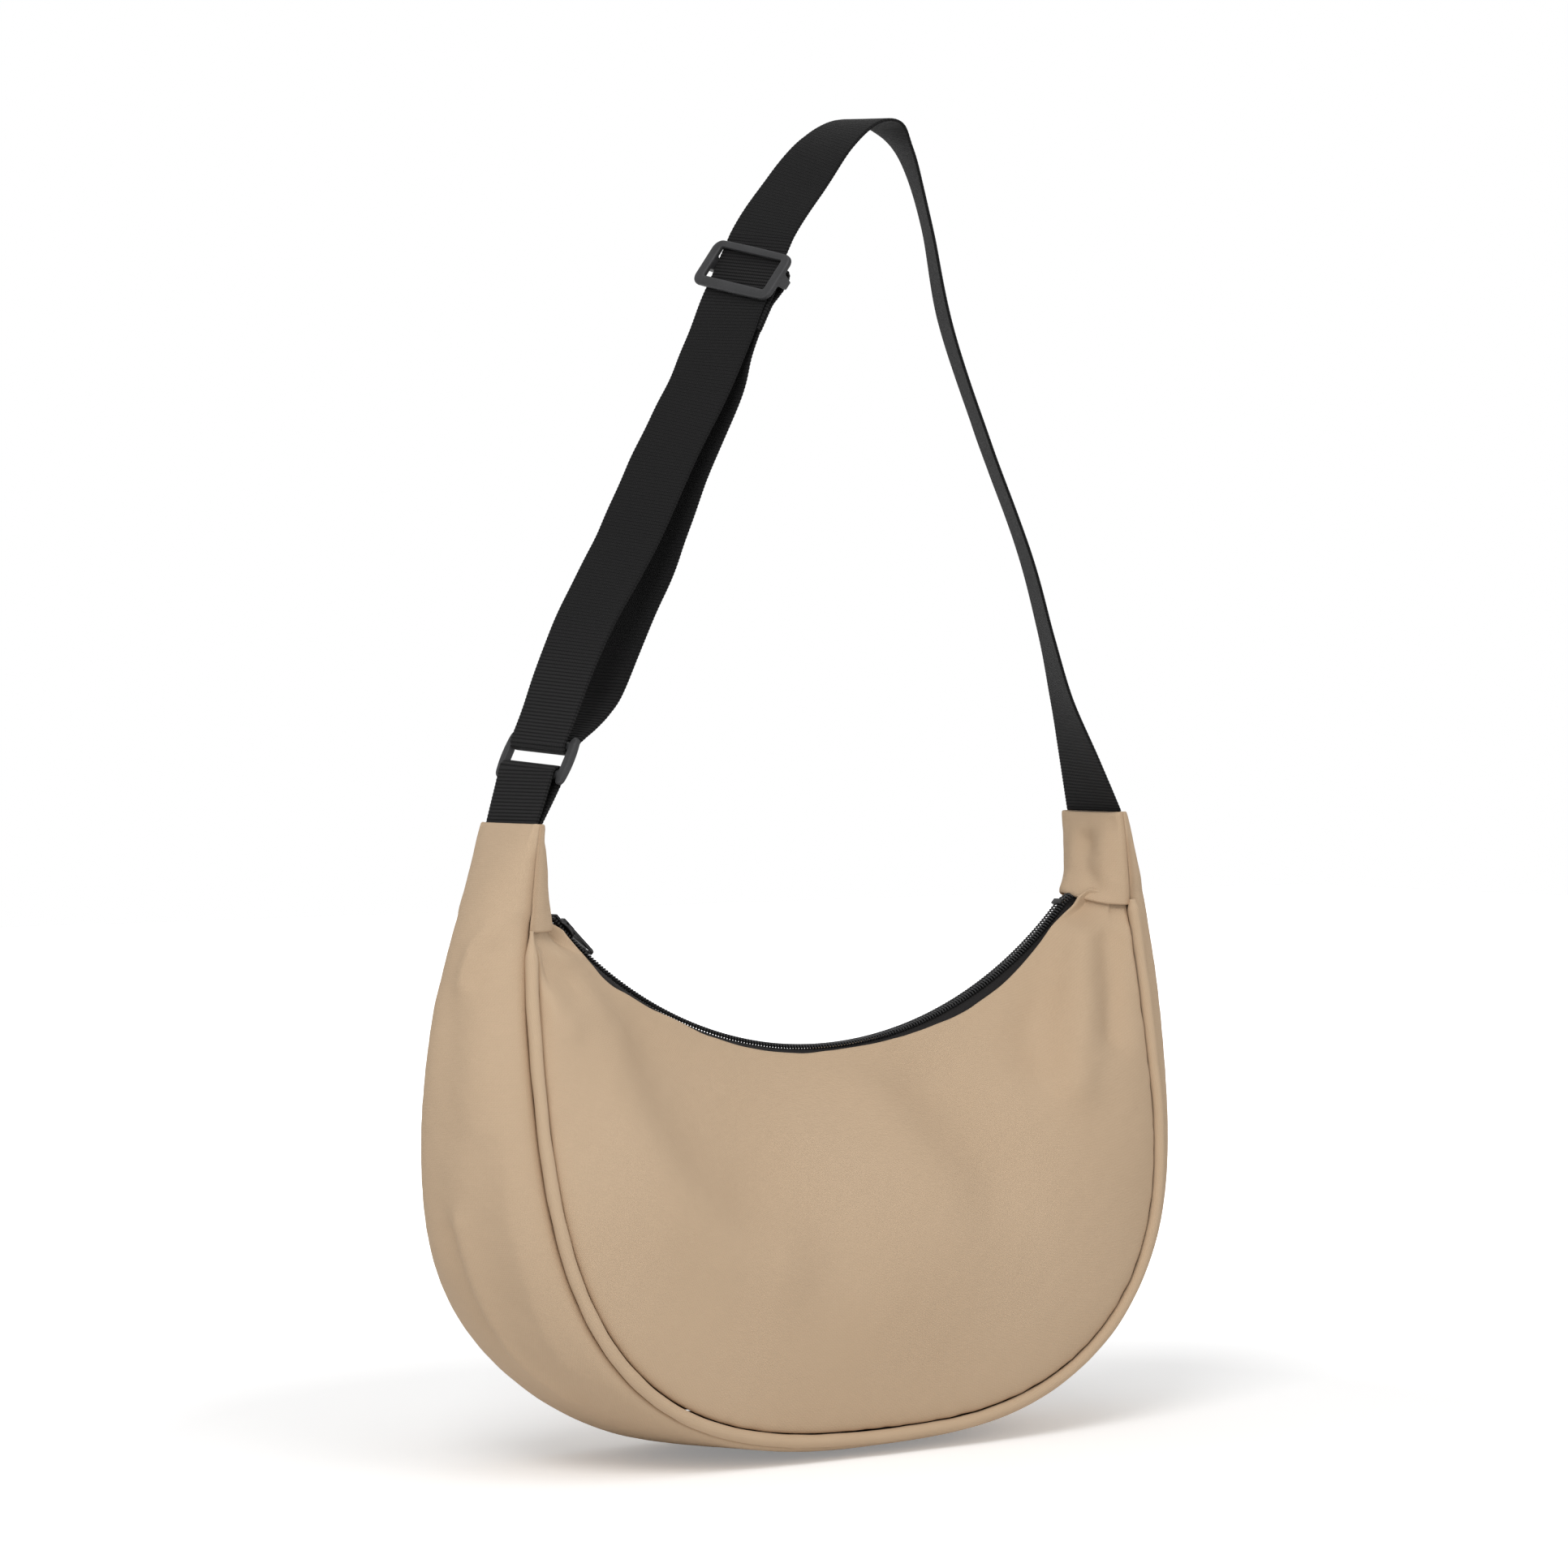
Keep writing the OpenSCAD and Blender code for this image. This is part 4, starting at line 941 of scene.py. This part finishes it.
def lining_surface(u0, u1, v_low, v_high, depth, side, seed):
    """A lining, depth below its panel, between shares of the panel's length and of its height."""
    rows, columns = 60, 26
    u, v = np.meshgrid(np.linspace(u0, u1, rows), np.linspace(0, 1, columns), indexing="ij")
    first, last = (panel_point(u, np.full_like(u, k), side)[0] for k in (0, 1))
    top = LINING_TOP / np.linalg.norm(last - first, axis=-1)
    vv = lerp(top, 0.96, lerp(v_low, v_high, v))
    p = panel_point(u, vv, side)[0]
    nn = grid_normals(p) * side
    return p - nn * (depth + 0.25 * (1 + waves(p, 30.0, seed)))[..., None]


# How far inside the shell each one lies
front_depth, back_depth, gusset_depth, pocket_depth = (fabric_t + d for d in (7.5, 6.0, 4.2, 7.5))
s, t = np.meshgrid(np.linspace(0.12, 0.88, 180), np.linspace(-0.8, 0.8, 28), indexing="ij")
for name, node, surface, turn in (
        ("front_lining_cloth", "front_lining", lining_surface(0.05, 0.95, 0, 1, front_depth, -1, 71), -1),
        ("back_lining_cloth", "back_lining", lining_surface(0.05, 0.95, 0, 1, back_depth, 1, 71), 1),
        ("gusset_lining_cloth", "gusset_lining", gusset_point(s, t, -gusset_depth), -1),
        ("slip_pocket_cloth", "inner_pocket",
         lining_surface(0.40, 0.60, 1 / 6, 4 / 6, pocket_depth, 1, 73), 1)):
    shell(name, node, surface, turn, LINING)

# Webbing ends sewn inside the horns
root_l, root_t = 27.0, 2.9
tilt = atan((side_x(-root_l) - side_x(0.0)) / root_l)
for side, name, node in ((-1, "left", "left_loop_root"), (1, "right", "right_strap_root")):
    d = np.array([side * sin(tilt), 0, -cos(tilt)])
    line = np.array([side * horn_x, 0, 0]) + np.linspace(0.3, root_l, 60)[:, None] * d
    ob = ribbon(f"{name}_root_webbing", line, np.repeat([[0.0, -1.0, 0.0]], len(line), 0), 17, thick=root_t)
    dress(ob, "bag", node)


# ---- zip
def tucked(angle):
    """How far the zip's right end, past the last stop, dips below the arc to pass under the tab's hem."""
    return 0.03 * np.maximum(0, (angle - 45.0) / deg_per_mm) ** 2


# The upper side of the back tape: distances below the arc, and across
TAPE_TOP = [(0, 1.05), (0.12, 1.9), (0.3, 2.9), (0.9, 4.0), (1.8, 5.4), (3.0, 6.8), (5.2, 7.6), (8.6, 8.4),
            (12.4, 9.0)]
tape_t, tape_end_share = 0.75, 0.42      # the tapes narrow at both ends, to pass under the hems


def along_zip(pts, angles, name):
    """A closed outline of [distance below the arc, across] swept along the zip."""
    low = pts[None, :, 0] + tucked(angles)[:, None]
    to_end = np.minimum(angles - angles[0], angles[-1] - angles) / deg_per_mm
    y = pts[None, :, 1] * lerp(tape_end_share, 1.0, smooth((to_end - 3) / 14))[:, None]
    b = Build()
    b.capped(zip_point(angles[:, None], low, y), pairs(np.radians(angles) * zip_r, running_round(pts)))
    return b.made(name, tape_cloth)


for side, name in SIDES:
    top_line = np.array(TAPE_TOP)
    d = np.gradient(top_line, axis=0)
    nn = unit(np.stack([d[:, 1], -d[:, 0]], 1))
    outline = np.concatenate([top_line, (top_line + nn * tape_t)[::-1]])
    outline[:, 1] *= side
    ob = along_zip(outline, np.linspace(-left_end, right_end, 260), f"{name}_zip_tape_cloth")
    dress(ob, "bag", f"{name}_zip_tape")

slider_angle = -left_end + 9.5 * deg_per_mm
teeth_from = slider_angle - (5.5 + 0.3 + 3) * deg_per_mm      # half the slider, a gap and a stop
teeth_to = right_end - 0.3 * deg_per_mm
coil_pitch = 1.62
teeth = int((teeth_to - teeth_from) / (coil_pitch * deg_per_mm))
# One loop of a coil: along the zip, across it and up, and how thick the strand is at each point
COIL_LOOP = [(-0.18, 2.35, 0.15), (-0.22, 3.0, 0.45), (-0.2, 3.25, 1.1), (-0.1, 2.9, 1.75), (0.05, 1.9, 2.0),
             (0.28, 0.7, 2.02), (0.36, 0.05, 1.75), (0.3, -0.35, 1.2), (0.2, 0.05, 0.7)]
coil_r = 0.42 * np.array([0.7, 1, 1.08, 1.08, 1, 1.05, 1.15, 1.1, 0.7])
coil_flat = 0.86


def at_zip(angle, along, y, up):
    """A point beside the zip: along it, across it, and up from the tape towards the arc's centre."""
    q = radians(angle)
    return zip_point(angle, tucked(angle) - up, y) + along * np.array([cos(q), 0, sin(q)])


for side, name, shift in ((-1, "front", 0.25), (1, "back", 0.75)):
    b = Build()
    for i in range(teeth):
        a = teeth_from + (i + shift) * coil_pitch * deg_per_mm
        pts = [at_zip(a, x, side * y, coil_flat * h) for x, y, h in COIL_LOOP]
        tube(b, pts, coil_r, 7, side_dir=(0.7, 0.2, 0.7))
    dress(b.made(f"{name}_coil", coil_nylon), "bag", f"{name}_zip_teeth")


# ---- parts kept in the source's shape
def softened(name, node, size, mat, body):
    """A copy of a rigid CAD node with its sharp edges rounded, which then stands for it."""
    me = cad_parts[node].data.copy()
    me.name = name
    me.materials.clear()
    bm = welded(me)
    bmesh.ops.dissolve_limit(bm, angle_limit=radians(2), verts=bm.verts, edges=bm.edges)
    sharp = [e for e in bm.edges if len(e.link_faces) == 2 and e.calc_face_angle(0) > radians(30)]
    bmesh.ops.bevel(bm, geom=sharp, offset=size / 1000, segments=3, profile=0.5, affect="EDGES",
                    clamp_overlap=True)
    settled(bm, me)
    me.materials.append(mat)
    dress(added(name, me), body, node)


softened("zip_stops_soft", "zip_end_stops", 0.2, coil_nylon, "bag")
softened("slider_soft", "zip_slider", 0.28, dark_metal, "zip_slider")
softened("puller_soft", "zip_puller", 0.25, dark_metal, "zip_puller")


# ---- ring and adjuster
# Painted highlight: the edges of the ring and the adjuster are lightened in colour.
EDGE_HIGHLIGHT = 0.22      # how far the edges of a moulding are lightened


def squared(v, sharp):
    """A sine or cosine for a round with flatter sides. A sharp of 2 is a circle."""
    return np.sign(v) * np.abs(v) ** (2 / sharp)


def placed(axes, plan, depth):
    """A plan of (x, z) points, pushed out along y by depth. axes are its middle and three directions."""
    centre, x_dir, y_dir, z_dir = axes
    return centre + plan[..., :1] * x_dir + plan[..., 1:] * z_dir + depth[..., None] * y_dir


def framed(b, axes, inner, outer, front, behind, sharp):
    """A moulded frame between two outlines. front and behind are how far it stands out along y at each
    point of them."""
    sides = 28
    q = 2 * pi * np.arange(sides) / sides
    cx, cy = squared(np.cos(q), sharp), squared(np.sin(q), sharp)
    plan = inner[:, None] * (0.5 - 0.5 * cx)[None, :, None] + outer[:, None] * (0.5 + 0.5 * cx)[None, :, None]
    depth = np.where(cy[None] > 0, front[:, None] * cy[None], behind[:, None] * cy[None])
    pts = placed(axes, plan, depth)
    uv = pairs(running_round(outer), np.arange(sides + 1) * 0.4)
    # The frame's rims get the painted highlight.
    b.grid(np.concatenate([pts, pts[:1]]), uv, True, hump(np.abs(cx), np.abs(cy), 0.18) * EDGE_HIGHLIGHT)


def rounded_outline(w, h, r, bow_x=0.0, bow_z=0.0, z0=0.0):
    """Points round a rounded rectangle, its sides bowed out by bow_x and bow_z in their middles."""
    n = 24      # points on each corner, and between two corners
    hw, hh = w / 2, h / 2
    arcs = []
    for k, (x, z) in enumerate(((1, 1), (-1, 1), (-1, -1), (1, -1))):
        a = np.radians(90 * k + np.linspace(0, 90, n))
        arcs.append([x * (hw - r), z * (hh - r)] + r * np.stack([np.cos(a), np.sin(a)], 1))
    out = np.concatenate([part for k in range(4) for part in (
        arcs[k], np.linspace(arcs[k][-1], arcs[(k + 1) % 4][0], n + 2)[1:-1])])
    out[:, 0] += np.sign(out[:, 0]) * bow_x * (1 - np.clip(np.abs(out[:, 1]) / hh, 0, 1) ** 2)
    out[:, 1] += np.sign(out[:, 1]) * bow_z * (1 - np.clip(np.abs(out[:, 0]) / hw, 0, 1) ** 2)
    out[:, 1] += z0
    return out


def pillow(b, axes, outline, half_depth):
    """A solid plate inside an outline, with a rounded rim."""
    rings, sharp = 24, 3.2
    q = np.linspace(-pi / 2, pi / 2, rings)
    size = squared(np.cos(q), sharp)
    depth = squared(np.sin(q), sharp) * half_depth
    middle = outline.mean(0)
    plan = middle + size[:, None, None] * (outline - middle)[None]
    pts = placed(axes, plan, depth[:, None])
    uv = np.concatenate([plan, plan[:, :1]], 1)
    # The plate's rim gets the painted highlight.
    b.grid(pts, uv, True, (hump(size, 0.97, 0.05) * EDGE_HIGHLIGHT)[:, None])


ring = Build()
ring_axes = (top_bar - ring_up * ring_pitch / 2, -ring_w, -ring_n, ring_up)
inner = rounded_outline(slot_w, ring_pitch - ring_t, 1.2)
outer = rounded_outline(slot_w + 4.4, ring_pitch + ring_t, 1.6)
half_depth = np.full(len(outer), ring_t / 2)
framed(ring, ring_axes, inner, outer, half_depth, half_depth, 2.3)
for end in (-1, 1):
    plate = rounded_outline(3.2, ring_plate_l, 1.5, bow_x=1.3)
    plate[:, 0] = end * (slot_w / 2 + np.maximum(plate[:, 0] + 1.5, 0.0))
    pillow(ring, ring_axes, plate, ring_t / 2)
dress(ring.made("ring_moulding", grey_plastic), "ring", "rectangular_ring")

glide = Build()
glide_mid = leg_base + leg_dir * glide_at
glide_front = webbing_t / 2 + 0.3
top_bar_h, low_bar_h = 3.4, 5.0
rear_bar_y, rear_bar_r = 4.1, 1.25      # the centre bar stands this far behind the leg
window_h = glide_h - top_bar_h - low_bar_h
turn = radians(glide_turn)
glide_x = -leg_w * cos(turn) + leg_dir * sin(turn)
glide_z = leg_w * sin(turn) + leg_dir * cos(turn)
inner = rounded_outline(glide_slot_w - 2.5, window_h, 1.0, z0=(low_bar_h - top_bar_h) / 2)
outer = rounded_outline(glide_slot_w + 8.0, glide_h - 0.8, 4.6, bow_z=0.4)
for outline in (inner, outer):      # the sides stay along the webbing, though the bars slope
    outline[:, 0] -= tan(turn) * outline[:, 1]
side_amount = smooth((np.abs(outer[:, 0]) - glide_slot_w / 2 + 0.6) / 1.6)
mid_level = glide_front + glide_t / 2
reach_back = lerp(glide_t / 2, glide_t / 2 + glide_front + rear_bar_y + 1.0,
                  side_amount * smooth((3.4 - np.abs(outer[:, 1])) / 1.6))
framed(glide, (glide_mid - leg_n * mid_level, glide_x, -leg_n, glide_z), inner, outer,
       np.full(len(outer), glide_t / 2), reach_back, 3.4)
centre = glide_mid + leg_n * rear_bar_y
half_bar = glide_slot_w / 2 + 1.2
bar = [centre + glide_x * x for x in np.linspace(-half_bar, half_bar, 40)]
tube(glide, bar, rear_bar_r, 20, side_dir=leg_dir)
dress(glide.made("adjuster_moulding", grey_plastic), "adjuster", "slide_adjuster")


# ---- floor, light and world
def camera_rays(tree, others):
    """1 for what the camera, a mirror or glass sees of a surface, and others for the light it gives."""
    path = put(tree, "ShaderNodeLightPath")
    seen = add(tree, *(path.outputs[f"Is {kind} Ray"] for kind in ("Camera", "Glossy", "Transmission")))
    return ranged(tree, maths(tree, "MINIMUM", seen, 1.0), 0, 1, others, 1.0)


FLOOR_GAP = 0.0012      # between the CAD's lowest point and the floor, in metres
FLOOR_NEAR = 0.24       # what the floor adds to its own light close to the bag
WORLD_LIGHT = 0.44
base_z = float(CAD_BOX[0][2]) - FLOOR_GAP
bpy.ops.mesh.primitive_grid_add(x_subdivisions=24, y_subdivisions=24, size=9.0, location=(0, 0, base_z))
floor = bpy.context.object
floor.name = "floor"
m, t, p = blank("pale_floor")
give(t, p, Base_Color=(0.98, 0.98, 0.98), Roughness=0.9, Specular_IOR_Level=0.1)
reach = put(t, "ShaderNodeVectorMath", operation="LENGTH", Vector=coordinates(t)[1])
far = ranged(t, reach.outputs["Value"], 0.32, 0.9, FLOOR_NEAR, 1.0)
glow = put(t, "ShaderNodeEmission", Color=(1, 1, 1), Strength=times(t, camera_rays(t, 0.0), far))
both = put(t, "ShaderNodeAddShader")
for k, shader in enumerate((p, glow)):
    feed(t, both.inputs[k], shader.outputs[0])
give(t, t.nodes["Material Output"], Surface=both.outputs[0])
floor.data.materials.append(m)

world = bpy.data.worlds.new("studio")
scene.world = world
world.use_nodes = True
t = world.node_tree
give(t, t.nodes["Background"], Color=(1, 1, 1), Strength=camera_rays(t, WORLD_LIGHT))


AIM = Vector((0.0, 0.0, -0.38))


def softbox(name, place, size, watts):
    """A square lamp at place that looks at the bag."""
    data = bpy.data.lights.new(name, "AREA")
    data.shape = "RECTANGLE"
    data.size = data.size_y = size
    data.energy = watts
    ob = added(name, data)
    ob.location = place
    ob.rotation_euler = (AIM - Vector(place)).to_track_quat("-Z", "Y").to_euler()


softbox("key", (-1.65, -1.2, 1.25), 1.0, 22.0)
softbox("fill", (0.0, -2.2, 0.4), 1.4, 6.5)
softbox("top", (-0.5, -0.9, 1.6), 1.4, 11.0)

scene.view_settings.view_transform = "Standard"
